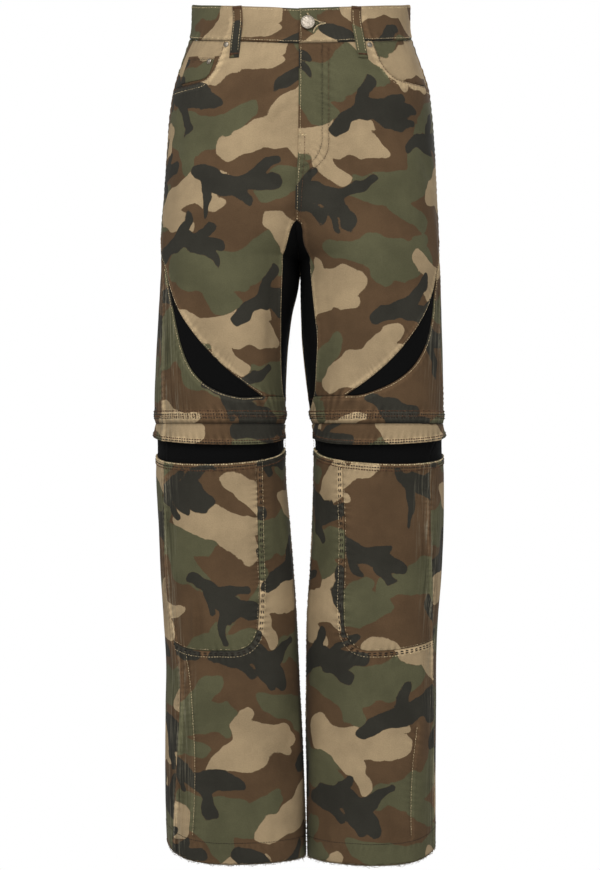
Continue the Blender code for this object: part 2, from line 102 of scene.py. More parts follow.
SQUARENESS = np.array(((50, 2.15), (-200, 2.35), (-400, 2.3), (-600, 2.2), (-1070, 2.2)))
CROTCH_SHARPNESS = 4.0


def bowed(start, end, bulge, lean=0.0, steps=8):
    """A line that bows to the right of its direction; a lean moves the bow towards its end."""
    du = end[0] - start[0]
    dz = end[1] - start[1]
    points = []
    for step in range(steps + 1):
        t = step / steps
        out = 4 * t * (1 - t) * (1 + lean * (2 * t - 1)) * bulge / math.hypot(du, dz)
        points.append((start[0] + du * t + dz * out, start[1] + dz * t - du * out))
    return tuple(points)


def round_corner(before, corner, after, radius, steps=5):
    """A line round a corner, from one radius before it to one radius after it."""
    ends = []
    for other in (before, after):
        share = radius / math.dist(corner, other)
        ends.append([c + (o - c) * share for c, o in zip(corner, other)])
    points = []
    for step in range(steps + 1):
        t = step / steps
        points.append(tuple((1 - t) ** 2 * a + 2 * t * (1 - t) * c + t * t * b
                            for a, c, b in zip(ends[0], corner, ends[1])))
    return tuple(points)


WAIST_TOP = (*bowed((-240, 38), (0, 23), -6, 0, 4), *bowed((0, 23), (240, -6.5), 7.5, 0, 4)[1:])
YOKE_SEAM = ((-280, -80), (-120, -69), (15, -60))
HEM = {
    "right": ((-300, -1062), (-60, -1049), (0, -1043), (70, -1056), (200, -1059), (300, -1064)),
    "left": ((-300, -1064), (-60, -1051), (0, -1047), (70, -1058), (200, -1060), (300, -1066)),
}
FLAP_EDGE = ((-320, -530), *bowed((0, -528), (256, -532), 8, 0.2, 4), (320, -531))
SHIN_TOP = ((-320, -545), (-150, -552), *bowed((0, -551), (260, -543), 15, 0, 6), (320, -538))
KNEE_RING_TOP = THIGH_EDGE + 8
KNEE_RING_TUCK = 8
KNEE_PANEL_EDGE = ((60, -787), *round_corner((60, -787), (170, -797), (178, -650), 42),
                   (178, -650), (183, -540))
KNEE_PANEL_FOOT = -784
BACK_POCKET = ((-208, -102), (-70, -94), (-77, -226), (-140, -250), (-203, -233))
COIN_POCKET = ((52, -53), (107, -60), *round_corner((107, -60), (111, -88), (52, -88), 15, 3), (52, -88))
OUTSEAM = {
    "right": ((15, 70), (15, -262), (50, -340), (55, -420), (55, -520), (42, -730), (62, -830),
              (57, -930), (36, -1080)),
    "left": ((15, 70), (15, -262), (38, -350), (40, -420), (18, -513), (58, -545), (62, -620),
             (38, -800), (22, -1080)),
}
POCKET_MOUTH = {
    "right": ((110, -20), *round_corner((110, -20), (117, -92), (15, -89), 27), (15, -89)),
    "left": ((117, -20), *round_corner((117, -20), (123, -91), (15, -87), 36), (15, -87)),
}
# From the side seam down round the front panel's lower outer edge, to the centre of the thigh.
FRONT_EDGE = {
    "right": ((15, -275), (40, -297), *bowed((62, -319), (200, -479), 14, 0.3)),
    "left": ((15, -280), (35, -300), *bowed((55, -318), (184, -478), 15, 0.15)),
}
CRESCENT_TIP = 2           # FRONT_EDGE's point where the black crescent starts
CRESCENT_EDGE = {
    "right": bowed((75, -348), (166, -480), 24, 0.75),
    "left": bowed((64, -350), (168, -478), 30, 0.1),
}
FRONT_FOOT = {"right": -477.0, "left": -479.0}
INSERT_EDGE = {
    "right": (*bowed((250, -265), (245, -445), 7, -0.6, 5),
              *round_corner((245, -445), (249, -490), (292, -492), 32, 3), (292, -492)),
    "left": (*bowed((256, -266), (236, -445), -2.5, -7.5, 5),
             *round_corner((236, -445), (239, -490), (284, -495), 32, 3), (284, -495)),
}

# ---------------------------------------------------------------- fine spacing, mm

STEP = 3.2                 # of the cloth's mesh points, and along seams
CLEAR = 2.0                # free points stay this far from a seam
GRID = 2.0                 # of the stored surface
EDGE_ROLL = 0.45           # how far a piece's faces draw in at its rolled edge
EDGE_GAP = 0.03            # how far the roll itself draws in

# ---------------------------------------------------------------- soft creases in the cloth, mm
# A trough or ridge runs from one end to the other, widest and deepest in its middle.

Fold = namedtuple("Fold", "u0 z0 u1 z1 width height")
FOLDS = {
    "right": (
        Fold(228, -92, 196, -122, 7, -1.0), Fold(226, -112, 190, -148, 9, 1.1),
        Fold(222, -132, 178, -176, 8, -1.2), Fold(236, -205, 196, -196, 9, 1.0),
        Fold(240, -226, 188, -214, 8, -1.2), Fold(244, -246, 196, -240, 9, 1.1),
        Fold(150, -95, 112, -128, 12, 0.9), Fold(96, -130, 60, -188, 14, -1.0),
        Fold(60, -230, 44, -330, 12, 0.9), Fold(150, -232, 138, -330, 22, -1.3),
        Fold(190, -250, 176, -350, 18, 1.2), Fold(110, -300, 104, -396, 20, 1.1),
        Fold(226, -300, 216, -420, 12, -1.0), Fold(205, -372, 200, -470, 14, 1.0),
        Fold(88, -560, 96, -660, 16, 1.0), Fold(132, -600, 120, -720, 18, -1.0),
        Fold(91, -730, 88, -792, 4, 1.4), Fold(97, -728, 95, -794, 5, -1.2),
        Fold(166, -640, 158, -740, 12, 0.8), Fold(214, -560, 226, -700, 14, -1.0),
        Fold(238, -640, 232, -800, 10, 0.9), Fold(110, -812, 100, -930, 16, 1.2),
        Fold(140, -830, 148, -980, 20, -1.3), Fold(186, -800, 176, -930, 18, 1.0),
        Fold(216, -880, 206, -1030, 16, -1.1), Fold(70, -850, 66, -980, 10, -0.8),
        Fold(238, -860, 246, -990, 9, 0.9), Fold(120, -990, 116, -1052, 9, 0.9),
        Fold(176, -985, 180, -1054, 10, 0.8), Fold(30, -620, 26, -760, 12, 0.8),
        Fold(-40, -150, -70, -250, 18, 1.4), Fold(-120, -270, -160, -330, 14, -1.8),
        Fold(-150, -288, -220, -330, 12, 1.8), Fold(-110, -330, -200, -362, 14, -1.6),
        Fold(-60, -360, -90, -480, 18, 1.2), Fold(-180, -380, -170, -490, 16, -1.3),
        Fold(-90, -560, -150, -590, 12, 2.2), Fold(-60, -600, -160, -622, 12, -2.2),
        Fold(-80, -640, -190, -650, 13, 2.0), Fold(-40, -672, -130, -690, 12, -1.6),
        Fold(-100, -740, -110, -900, 20, 1.3), Fold(-190, -760, -180, -960, 18, -1.3),
        Fold(-50, -820, -40, -980, 16, -1.0), Fold(-150, -900, -146, -1040, 14, 1.0),
    ),
    "left": (
        Fold(232, -96, 206, -116, 7, -0.9), Fold(230, -120, 186, -150, 9, 1.1),
        Fold(226, -150, 172, -178, 8, -1.1), Fold(240, -200, 190, -192, 9, 1.0),
        Fold(244, -222, 198, -216, 8, -1.1), Fold(246, -250, 190, -250, 10, 1.0),
        Fold(146, -110, 100, -136, 12, 0.9), Fold(90, -150, 58, -214, 14, -1.0),
        Fold(56, -250, 40, -350, 12, 0.9), Fold(140, -240, 130, -350, 22, -1.2),
        Fold(188, -266, 178, -372, 18, 1.1), Fold(96, -320, 100, -390, 16, 1.0),
        Fold(222, -320, 216, -436, 12, -0.9), Fold(196, -392, 190, -476, 14, 0.9),
        Fold(84, -566, 92, -680, 16, -1.0), Fold(128, -590, 120, -700, 16, 1.0),
        Fold(150, -690, 146, -776, 12, -0.8), Fold(210, -570, 220, -720, 14, -1.0),
        Fold(240, -640, 236, -790, 10, 0.9), Fold(100, -806, 92, -920, 16, -1.1),
        Fold(142, -820, 150, -960, 20, 1.2), Fold(186, -810, 180, -930, 18, -1.0),
        Fold(222, -860, 212, -1010, 16, 1.1), Fold(66, -850, 60, -990, 10, 0.9),
        Fold(240, -900, 246, -1000, 9, -0.8), Fold(112, -985, 112, -1052, 9, -0.9),
        Fold(190, -990, 184, -1054, 10, 0.9), Fold(28, -600, 24, -740, 12, -0.8),
        Fold(-36, -140, -66, -244, 18, 1.3), Fold(-116, -262, -158, -322, 14, -1.8),
        Fold(-156, -292, -222, -326, 12, 1.7), Fold(-104, -338, -196, -360, 14, -1.5),
        Fold(-64, -372, -88, -484, 18, -1.2), Fold(-186, -376, -174, -480, 16, 1.2),
        Fold(-84, -566, -154, -592, 12, 2.0), Fold(-66, -606, -168, -618, 12, -2.1),
        Fold(-70, -644, -184, -656, 13, 1.9), Fold(-48, -680, -136, -686, 12, -1.5),
        Fold(-96, -752, -108, -910, 20, -1.2), Fold(-186, -770, -182, -950, 18, 1.2),
        Fold(-54, -830, -44, -990, 16, 1.0), Fold(-144, -910, -150, -1044, 14, -1.0),
    ),
}

# ---------------------------------------------------------------- noise


def cloud(x, y, seed):
    """Smooth noise from -1 to 1, about one swell for each unit."""
    lattice = np.random.default_rng(seed).uniform(-1, 1, (256, 256))
    column = np.floor(x).astype(int)
    row = np.floor(y).astype(int)
    across = x - column
    down = y - row
    across = across * across * (3 - 2 * across)
    down = down * down * (3 - 2 * down)
    upper = lattice[row % 256, column % 256] * (1 - across) + lattice[row % 256, (column + 1) % 256] * across
    lower = (lattice[(row + 1) % 256, column % 256] * (1 - across)
             + lattice[(row + 1) % 256, (column + 1) % 256] * across)
    return upper * (1 - down) + lower * down


def smooth_step(value, low, high):
    t = np.clip((value - low) / (high - low), 0, 1)
    return t * t * (3 - 2 * t)


# ---------------------------------------------------------------- the surface of one side

REACH = 360.0
RING_POINTS = 397
EDGE_SPREAD = 1.1          # the ring runs this far past the inner line at both ends


def smooth_columns(z):
    """The section table read at a height, as a dictionary by column."""
    depth = -SECTIONS[:, 0]
    row = int(np.clip(np.searchsorted(depth, -z) - 1, 0, len(depth) - 2))
    step = depth[row + 1] - depth[row]
    t = (-z - depth[row]) / step
    ease = t * t * (3 - 2 * t)
    slope = np.gradient(SECTIONS, depth, axis=0)
    values = (SECTIONS[row] * (1 - ease) + SECTIONS[row + 1] * ease
              + t * (1 - t) ** 2 * step * slope[row] + t * t * (t - 1) * step * slope[row + 1])
    return dict(zip(Section._fields, values))


def ring(side, z):
    """One section as arrays of u, x and y, with the u at its back and front ends."""
    row = smooth_columns(z)
    outer, inner = row[side + "_outer"], row[side + "_inner"]
    front, back, side_y = row["front"], row["back"], row["side_y"]
    if z > FORK:
        reach = ((HIGHEST - z) / (HIGHEST - FORK)) ** CROTCH_SHARPNESS
        half_width = outer / (1 + reach)
        centre = reach * half_width
    else:
        half_width = (outer - inner) / 2
        centre = (outer + inner) / 2
    power = np.interp(-z, -SQUARENESS[:, 0], SQUARENESS[:, 1])
    angle = np.linspace(-EDGE_SPREAD * math.pi, EDGE_SPREAD * math.pi, RING_POINTS)
    depth = np.where(angle < 0, back - side_y, side_y - front)
    radius = ((np.abs(np.cos(angle)) / half_width) ** power
              + (np.abs(np.sin(angle)) / depth) ** power) ** (-1 / power)
    x = centre + radius * np.cos(angle)
    y = side_y - radius * np.sin(angle)
    u = np.concatenate(([0], np.cumsum(np.hypot(np.diff(x), np.diff(y)))))
    u -= u[RING_POINTS // 2]
    back_end, front_end = np.interp((-math.pi, math.pi), angle, u)
    if z > FORK:
        ahead = (angle >= 0) & (angle <= math.pi)
        behind = (angle <= 0) & (angle >= -math.pi)
        front_end = np.interp(0, -x[ahead], u[ahead])
        back_end = np.interp(0, x[behind], u[behind])
    return u, SIGN[side] * x, y, back_end, front_end


# The left front laps over the right one by this much, mm, at each height.
LAP = np.array(((50, 1.5), (-100, 1.5), (-185, 2.5), (-225, 5.5), (-262, 7), (-280, 4), (-293, 0)))


class Leg:
    """The smooth outer surface of one side, kept as a table over z and u."""

    def __init__(self, side):
        self.side = side
        self.z = np.arange(HIGHEST, LOWEST - 1, -GRID)
        self.u = np.arange(-REACH, REACH + 1, GRID)
        self.place = np.zeros((len(self.z), len(self.u), 3))
        self.front_end = np.zeros(len(self.z))
        for row, z in enumerate(self.z):
            u, x, y, _, self.front_end[row] = ring(side, z)
            self.place[row, :, 0] = np.interp(self.u, u, x)
            self.place[row, :, 1] = np.interp(self.u, u, y)
            self.place[row, :, 2] = z
        up = np.gradient(self.place, self.z, axis=0)
        round_leg = np.gradient(self.place, self.u, axis=1)
        normal = np.cross(up, round_leg) * SIGN[side]
        length = np.linalg.norm(normal, axis=2, keepdims=True)
        self.outward = normal / np.maximum(length, 1e-6)
        self.other = None

    def lap(self, z):
        """How far this side's cloth runs past the centre front."""
        return np.interp(-z, -LAP[:, 0], LAP[:, 1]) if self.side == "left" else 0 * z

    def front_limit(self, z):
        return np.interp(-z, -self.z, self.front_end) + self.lap(z)

    def read(self, table, u, z):
        column = np.clip((u + REACH) / GRID, 0, len(self.u) - 1.001)
        row = np.clip((HIGHEST - z) / GRID, 0, len(self.z) - 1.001)
        left, top = column.astype(int), row.astype(int)
        across = (column - left)[:, None]
        down = (row - top)[:, None]
        upper = table[top, left] * (1 - across) + table[top, left + 1] * across
        lower = table[top + 1, left] * (1 - across) + table[top + 1, left + 1] * across
        return upper * (1 - down) + lower * down

    def read_lapped(self, kind, u, z):
        """A table's value, taken from the other side where the cloth laps over it."""
        value = self.read(getattr(self, kind), u, z)
        if self.other is not None and self.side == "left":
            over = u - np.interp(-z, -self.z, self.front_end)
            past = (over > 0) & (z > LAP[-1, 0])
            end = np.interp(-z[past], -self.z, self.other.front_end)
            value[past] = self.read(getattr(self.other, kind), end - over[past], z[past])
        return value

    def point(self, u, z):
        place = self.read_lapped("place", u, z)
        place[:, 2] = z
        return place

    def normal(self, u, z):
        normal = self.read_lapped("outward", u, z)
        return normal / np.linalg.norm(normal, axis=1, keepdims=True)


# ---------------------------------------------------------------- lines in (u, z)


def smooth_line(line, step=STEP):
    """Points about a step apart on a smooth curve through the line's own points."""
    knots = np.array(line, float)
    along = np.concatenate(([0], np.cumsum(np.hypot(*np.diff(knots, axis=0).T))))
    slope = np.gradient(knots, along, axis=0)
    found = []
    for k in range(len(knots) - 1):
        length = along[k + 1] - along[k]
        t = np.linspace(0, 1, max(1, math.ceil(length / step)) + 1)[:-1, None]
        ease = t * t * (3 - 2 * t)
        found.append(knots[k] * (1 - ease) + knots[k + 1] * ease
                     + t * (1 - t) ** 2 * length * slope[k] + t * t * (t - 1) * length * slope[k + 1])
    return np.concatenate(found + [knots[-1:]])


def straight_line(line, step=STEP):
    """Points about a step apart on the straight stretches of a line."""
    found = []
    for start, end in zip(np.array(line, float), np.array(line[1:], float)):
        t = np.linspace(0, 1, max(1, math.ceil(math.dist(start, end) / step)) + 1)[:-1, None]
        found.append(start * (1 - t) + end * t)
    return np.concatenate(found + [np.array(line[-1:], float)])


def closed_line(line):
    return straight_line(list(line) + [line[0]])


BACK_POCKET_LINE = closed_line(BACK_POCKET)
COIN_POCKET_LINE = closed_line(COIN_POCKET)


def height_at(line, u):
    """Height of a line at u, for a line that runs round the leg."""
    order = np.argsort(line[:, 0])
    return np.interp(u, line[order, 0], line[order, 1])


def round_at(line, z):
    """The u of a line at a height, for a line that runs along the leg."""
    order = np.argsort(line[:, 1])
    return np.interp(z, line[order, 1], line[order, 0])


def moved(line, du, dz):
    return line + np.array((du, dz))


def inside(u, z, outline):
    """Whether each point lies in a closed outline."""
    crossings = np.zeros(len(u), int)
    for (u0, z0), (u1, z1) in zip(outline, np.roll(outline, -1, axis=0)):
        if z0 == z1:
            continue
        spans = (z0 > z) != (z1 > z)
        crossings += spans & (u < u0 + (z - z0) / (z1 - z0) * (u1 - u0))
    return crossings % 2 == 1


def near_line(line, u, z, reach):
    """Which points lie within reach of a line, with their distance from it and their place along it.

    The distance is positive on the left of the line's own direction, seen with u to the right and z up.
    """
    close = np.flatnonzero((u > line[:, 0].min() - reach) & (u < line[:, 0].max() + reach)
                           & (z > line[:, 1].min() - reach) & (z < line[:, 1].max() + reach))
    if len(close) == 0:
        return close, np.zeros(0), np.zeros(0)
    point = np.column_stack((u[close], z[close]))
    best = np.full(len(close), 1e9)
    signed = np.zeros(len(close))
    place = np.zeros(len(close))
    begun = 0.0
    for start, end in zip(line, line[1:]):
        span = end - start
        length = math.hypot(*span)
        if length == 0:
            continue
        offset = point - start
        t = np.clip(offset @ span / length ** 2, 0, 1)
        gap = np.hypot(*(offset - t[:, None] * span).T)
        closer = gap < best
        best = np.where(closer, gap, best)
        across = (span[0] * offset[:, 1] - span[1] * offset[:, 0]) / length
        signed = np.where(closer, np.where(across < 0, -gap, gap), signed)
        place = np.where(closer, begun + t * length, place)
        begun += length
    kept = best < reach
    return close[kept], signed[kept], place[kept]


# ---------------------------------------------------------------- seams, folds of the edge and stitch rows

Seam = namedtuple("Seam", "line low high height pucker rows ladder")
# low to high is the band beside the line that its allowance raises by height; rows are stitched at
# (distance, thread); a ladder thread crosses the seam itself. Distances are positive on the line's left.

GOLD, RUST, DARK = "gold_thread", "rust_thread", "dark_thread"
FLY_FOOT = -162.0
HEM_STITCH = 27.0          # above the raw edge
TOP_LINE = {
    "right": bowed((76, -795), (82, -1025), -9, 0, 6),
    "left": bowed((75, -890), (81, -1025), -3, 0, 6),
}
FLY_TOP = -50.0
FlyRow = namedtuple("FlyRow", "beside foot thread")
FLY_ROWS = (FlyRow(27, -200, DARK), FlyRow(35, -207, RUST))
FLY_ROUND = 36.0           # height over which a fly row rounds off to the centre front


def end_line(leg, top, foot):
    """The centre front or inner line of one side."""
    heights = np.arange(top, foot, -STEP)
    ends = [ring(leg.side, float(z))[4] for z in heights]
    return np.column_stack((ends + leg.lap(heights), heights))


def back_line(leg, top, foot):
    """The centre back line of one side."""
    return np.array([(ring(leg.side, float(z))[3], z) for z in np.arange(top, foot, -STEP)])


def fly_line(leg, row):
    """A row of stitches beside the centre front, that rounds off to meet it."""
    heights = np.arange(FLY_TOP, row.foot + FLY_ROUND, -STEP)
    turn = np.linspace(0, math.pi / 2, 12)
    heights = np.concatenate((heights, row.foot + FLY_ROUND * (1 - np.sin(turn))))
    beside = np.concatenate((np.full(len(heights) - len(turn), row.beside), row.beside * np.cos(turn)))
    ends = np.array([ring(leg.side, float(z))[4] for z in heights])
    return np.column_stack((ends - beside, heights))


def seam_table(leg):
    """Every seam and stitched edge of one side, by name."""
    side = leg.side
    waist_top = smooth_line(WAIST_TOP)
    mouth = smooth_line(POCKET_MOUTH[side])
    front_edge = smooth_line(FRONT_EDGE[side])
    crescent = [FRONT_EDGE[side][CRESCENT_TIP]] + list(CRESCENT_EDGE[side]) + [FRONT_EDGE[side][-1]]
    crotch_u = ring(side, CROTCH_END)[4] + 10
    knee_foot_u = float(round_at(smooth_line(OUTSEAM[side]), KNEE_PANEL_FOOT))
    seams = {
        "waist_top": Seam(waist_top, -4, 0, 0.15, 0.10, ((-3.2, GOLD),), None),
        "waist": Seam(moved(waist_top, 0, -WAISTBAND_HEIGHT), 0, 5, 0.2, 0.3, ((2.6, GOLD),), None),
        "yoke": Seam(smooth_line(YOKE_SEAM), -8, 0, 0.45, 0.3, ((-1.8, GOLD), (-7, GOLD)), None),
        "centre_back": Seam(back_line(leg, -20, FORK + 4), 0, 9, 0.4, 0.3, ((2, GOLD), (7.5, GOLD)), None),
        "outseam": Seam(smooth_line(OUTSEAM[side]), 0, 7, 0.8, 0.45, (), None),
        "inseam": Seam(end_line(leg, FORK - 2, LOWEST), -8, 0, 0.4, 0.3, (), None),
        "mouth": Seam(mouth, 0, 8.5, 0.5, 0.4, ((1.6, RUST), (6.8, GOLD)), None),
        "front_edge": Seam(front_edge, 0, 6, 0.4, 0.3, ((1.8, GOLD),), None),
        "crescent_edge": Seam(smooth_line(crescent), -6, 0, 0.4, 0.3, ((-1.8, GOLD),), None),
        "front_foot": Seam(straight_line([FRONT_EDGE[side][-1], (320, FRONT_FOOT[side])]),
                           -6, 0, 0.4, 0.6, ((-3, RUST),), None),
        "insert_edge": Seam(smooth_line([(crotch_u, CROTCH_END)] + list(INSERT_EDGE[side])),
                            -6, 0, 0.4, 0.2, ((-2.0, GOLD),), None),
        "thigh_hem": Seam(straight_line(((-320, THIGH_EDGE), (320, THIGH_EDGE))),
                          6, 16, 0.8, 0.8, ((7, DARK), (9.2, RUST), (11.6, DARK), (15.5, RUST)), None),
        "flap_edge": Seam(smooth_line(FLAP_EDGE), 0, 6, 0.7, 0.75, ((2.4, DARK), (5.2, RUST)), None),
        "shin_top": Seam(smooth_line(SHIN_TOP), -9, 0, 0.5, 0.55,
                         ((-1.3, GOLD), (-5, DARK), (-8.5, RUST)), None),
        "knee_panel": Seam(smooth_line([(knee_foot_u, KNEE_PANEL_FOOT)] + list(KNEE_PANEL_EDGE)),
                           -7, 0, 0.6, 0.75, ((1.6, GOLD),), DARK),
        "hem": Seam(smooth_line(HEM[side]), 26, 29, 0.1, 0.3, ((HEM_STITCH, DARK),), None),
        "top_line": Seam(smooth_line(TOP_LINE[side]), -6, 0, 0.3, 0.3, ((-1.5, GOLD),), None),
        "back_pocket": Seam(BACK_POCKET_LINE, 0, 0, 0, 0.1, ((-2, GOLD), (-7, GOLD)), None),
    }
    if side == "left":
        seams["fly_edge"] = Seam(end_line(leg, 40, FLY_FOOT), 0, 0, 0, 0.2, ((-2.4, GOLD),), None)
        seams["crotch"] = Seam(end_line(leg, FLY_FOOT, FORK + 40), 0, 0, 0, 0.3,
                               ((-2.4, GOLD), (-8, RUST)), None)
        for number, row in enumerate(FLY_ROWS):
            seams[f"fly_row_{number}"] = Seam(fly_line(leg, row), -1, 1, -0.15, 0.3, ((0, row.thread),), None)
    else:
        seams["crotch"] = Seam(end_line(leg, -20, FORK + 40), 0, 0, 0, 0.2, (), None)
        seams["coin_pocket"] = Seam(straight_line(COIN_POCKET[:2]), 0, 0, 0, 0.05,
                                    ((-2.5, RUST), (-4.5, DARK), (-7, RUST)), None)
    return seams


Dent = namedtuple("Dent", "width height")
GROOVE = Dent(1.1, -0.55)  # along a seam itself
DIMPLE = Dent(0.8, -0.22)  # along a row of stitches
SEAM_REACH = 24.0          # nothing of a seam shows further away than this
ALLOWANCE_SOFT = 1.2       # over which its allowance rises
PUCKER_LENGTH = 8.5        # from one ripple to the next
PUCKER_SLANT = 0.2
PUCKER_WIDTH = 8.0


def pucker_wave(along, across, number):
    """Uneven ripples along a seam, slanting away from it."""
    row = np.full(len(along), float(number))
    drift = 0.9 * cloud(along / 26, row, 5)
    wave = np.sin(2 * math.pi * ((along + PUCKER_SLANT * across) / PUCKER_LENGTH + drift))
    return wave * (0.6 + 0.5 * cloud(along / 17, row, 6))


def seam_relief(seams, u, z):
    """Height of the seams' own shape above the smooth cloth."""
    height = np.zeros(len(u))
    for number, seam in enumerate(seams.values()):
        at, across, along = near_line(seam.line, u, z, SEAM_REACH)
        below = smooth_step(across, seam.low - ALLOWANCE_SOFT, seam.low)
        above = smooth_step(across, seam.high, seam.high + ALLOWANCE_SOFT)
        shape = seam.height * below * (1 - above)
        if seam.height > 0:
            shape += GROOVE.height * np.exp(-(across / GROOVE.width) ** 2)
        for offset, _ in seam.rows:
            shape += DIMPLE.height * np.exp(-((across - offset) / DIMPLE.width) ** 2)
        middle = (seam.low + seam.high) / 2
        nearness = np.exp(-(np.abs(across - middle) / PUCKER_WIDTH) ** 1.5)
        shape += seam.pucker * pucker_wave(along, across, number) * nearness
        height[at] += shape
    return height


FOLD_DEPTH = 2.0
FOLD_WANDER = 5.0          # how far a crease strays from its line, over swells of the size below
WANDER_SIZE = 38.0


def fold_relief(side, u, z):
    """Height of the cloth's soft creases and slow unevenness."""
    bent_u = u + FOLD_WANDER * cloud(u / WANDER_SIZE, z / WANDER_SIZE, 11)
    bent_z = z + FOLD_WANDER * cloud(u / WANDER_SIZE, z / WANDER_SIZE, 12)
    height = 0.35 * cloud(u / 34, z / 60, 13) + 0.14 * cloud(u / 9, z / 16, 14)
    for fold in FOLDS[side]:
        span = np.array((fold.u1 - fold.u0, fold.z1 - fold.z0))
        length = math.hypot(*span)
        along = ((bent_u - fold.u0) * span[0] + (bent_z - fold.z0) * span[1]) / length ** 2
        across = ((bent_u - fold.u0) * span[1] - (bent_z - fold.z0) * span[0]) / length
        taper = smooth_step(along, -0.15, 0.35) * (1 - smooth_step(along, 0.6, 1.15))
        height += FOLD_DEPTH * fold.height * taper * np.exp(-(across / fold.width) ** 2)
    return height


# ---------------------------------------------------------------- which piece a point belongs to


class Cut:
    """The lines that one side is cut along, and the pieces that they part."""

    def __init__(self, leg):
        self.leg = leg
        self.seams = seam_table(leg)
        self.lines = {name: seam.line for name, seam in self.seams.items()}
        side = leg.side
        front_edge = self.lines["front_edge"]
        tip = int(np.argmin(np.hypot(*(front_edge - FRONT_EDGE[side][CRESCENT_TIP]).T)))
        self.crescent = np.concatenate((front_edge[tip:], self.lines["crescent_edge"][::-1]))
        self.foot = np.concatenate((front_edge, self.lines["front_foot"]))
        self.mouth = np.concatenate((self.lines["mouth"], [(OUTSEAM[side][0][0], 0)]))
        insert_end = [(400, INSERT_EDGE[side][-1][1]), (400, CROTCH_END)]
        self.insert = np.concatenate((self.lines["insert_edge"], insert_end))
        panel_end = [(-40, THIGH_EDGE), (-40, KNEE_PANEL_FOOT)]
        self.knee_panel = np.concatenate((self.lines["knee_panel"], panel_end))
        heights = np.concatenate((np.arange(HIGHEST, FORK, -STEP), np.arange(FORK + 3, FORK - 3, -0.4),
                                  np.arange(FORK, LOWEST, -STEP), [LOWEST]))
        heights = np.unique(np.round(heights, 3))[::-1]
        ends = np.array([ring(side, float(z))[3:] for z in heights])
        self.edge = np.concatenate((np.column_stack((ends[:, 1] + leg.lap(heights), heights)),
                                    np.column_stack((ends[:, 0], heights))[::-1]))

    def pieces_at(self, u, z):
        """Name of the piece at each point of the cloth, or nothing where the cloth is open."""
        lines = self.lines
        ahead = u > round_at(lines["outseam"], z)
        thigh = z > THIGH_EDGE
        choices = (
            ((z > height_at(lines["waist_top"], u)) | (z < height_at(lines["hem"], u)), ""),
            (z > height_at(lines["waist"], u), "waistband"),
            (thigh & ~ahead & (z > height_at(lines["yoke"], u)), "yoke"),
            (thigh & ~ahead, "back"),
            (thigh & inside(u, z, self.mouth), "pocket_facing"),
            (thigh & inside(u, z, self.crescent), "thigh_crescent"),
            (thigh & inside(u, z, self.insert), "inner_insert"),
            (thigh & (z > height_at(self.foot, u)), "front"),
            (thigh, "thigh_side"),
            ((z > height_at(lines["flap_edge"], u)) & ahead, "knee_flap_front"),
            (z > height_at(lines["flap_edge"], u), "knee_flap_back"),
            (z > height_at(lines["shin_top"], u), ""),
            (~ahead, "calf"),
            (inside(u, z, self.knee_panel), "knee_panel"),
        )
        return np.select([test for test, _ in choices], [name for _, name in choices], "shin")

    def rings_at(self, u, z):
        """Name of the black ring's piece at each point, or nothing."""
        shown = (z < KNEE_RING_TOP) & (z > height_at(self.lines["shin_top"], u) - KNEE_RING_TUCK)
        ahead = u > round_at(self.lines["outseam"], z)
        return np.where(shown, np.where(ahead, "knee_ring_front", "knee_ring_back"), "")

    def triangles(self):
        """Corners and triangles, in (u, z), of the whole side, cut along every line."""
        tucked = moved(self.lines["shin_top"], 0, -KNEE_RING_TUCK)
        ring_top = straight_line(((-320, KNEE_RING_TOP), (320, KNEE_RING_TOP)))
        skipped = ("inseam", "centre_back", "crotch", "fly_edge", "fly_row_0", "fly_row_1", "top_line",
                   "coin_pocket", "back_pocket")
        drawn = [line for name, line in self.lines.items() if name not in skipped]
        drawn += [tucked, ring_top, BACK_POCKET_LINE]
        if self.leg.side == "right":
            drawn.append(COIN_POCKET_LINE)
        points = [self.edge]
        count = len(self.edge)
        links = [(k, (k + 1) % count) for k in range(count)]
        for line in drawn:
            links += [(count + k, count + k + 1) for k in range(len(line) - 1)]
            points.append(line)
            count += len(line)
        points = np.concatenate(points)
        tree = KDTree(len(points))
        for number, (u, z) in enumerate(points):
            tree.insert((u, z, 0), number)
        tree.balance()
        free = [point for point in free_points() if tree.find((*point, 0))[2] > CLEAR]
        everything = [Vector(point) for point in np.concatenate((points, free))]
        corners, _, faces = delaunay_2d_cdt(everything, links, [], 0, 0.02, False)[:3]
        corners = np.array([tuple(corner) for corner in corners])
        faces = np.array([tuple(face) for face in faces])
        centres = corners[faces].mean(axis=1)
        kept = inside(centres[:, 0], centres[:, 1], self.edge)
        return corners, faces[kept], centres[kept]


FRONT_STEP = 2.7
BACK_STEP = 4.8
FRONT_FROM = 4.0           # finer from just behind the side line forwards


def free_points():
    """A staggered grid of points, finer on the front of the garment."""
    found = []
    for step, low, high in ((BACK_STEP, -REACH, FRONT_FROM), (FRONT_STEP, FRONT_FROM + 2, REACH)):
        columns = np.arange(low, high, step)
        for row, z in enumerate(np.arange(LOWEST, HIGHEST, step * 0.866)):
            shifted = columns + step / 2 * (row % 2)
            found.append(np.column_stack((shifted, np.full(len(shifted), z))))
    return np.concatenate(found)


# ---------------------------------------------------------------- how far each piece stands out, mm


def flap_rise(u, z):
    """The flap stands further out towards its lower edge, and not at all at the inseam."""
    down = np.clip((THIGH_EDGE - z) / (THIGH_EDGE - FLAP_EDGE[0][1]), 0, 1.3)
    return FLAP_FLARE * down * np.maximum(0, 1 - (np.abs(u) / FLAP_CLOSE) ** 4)


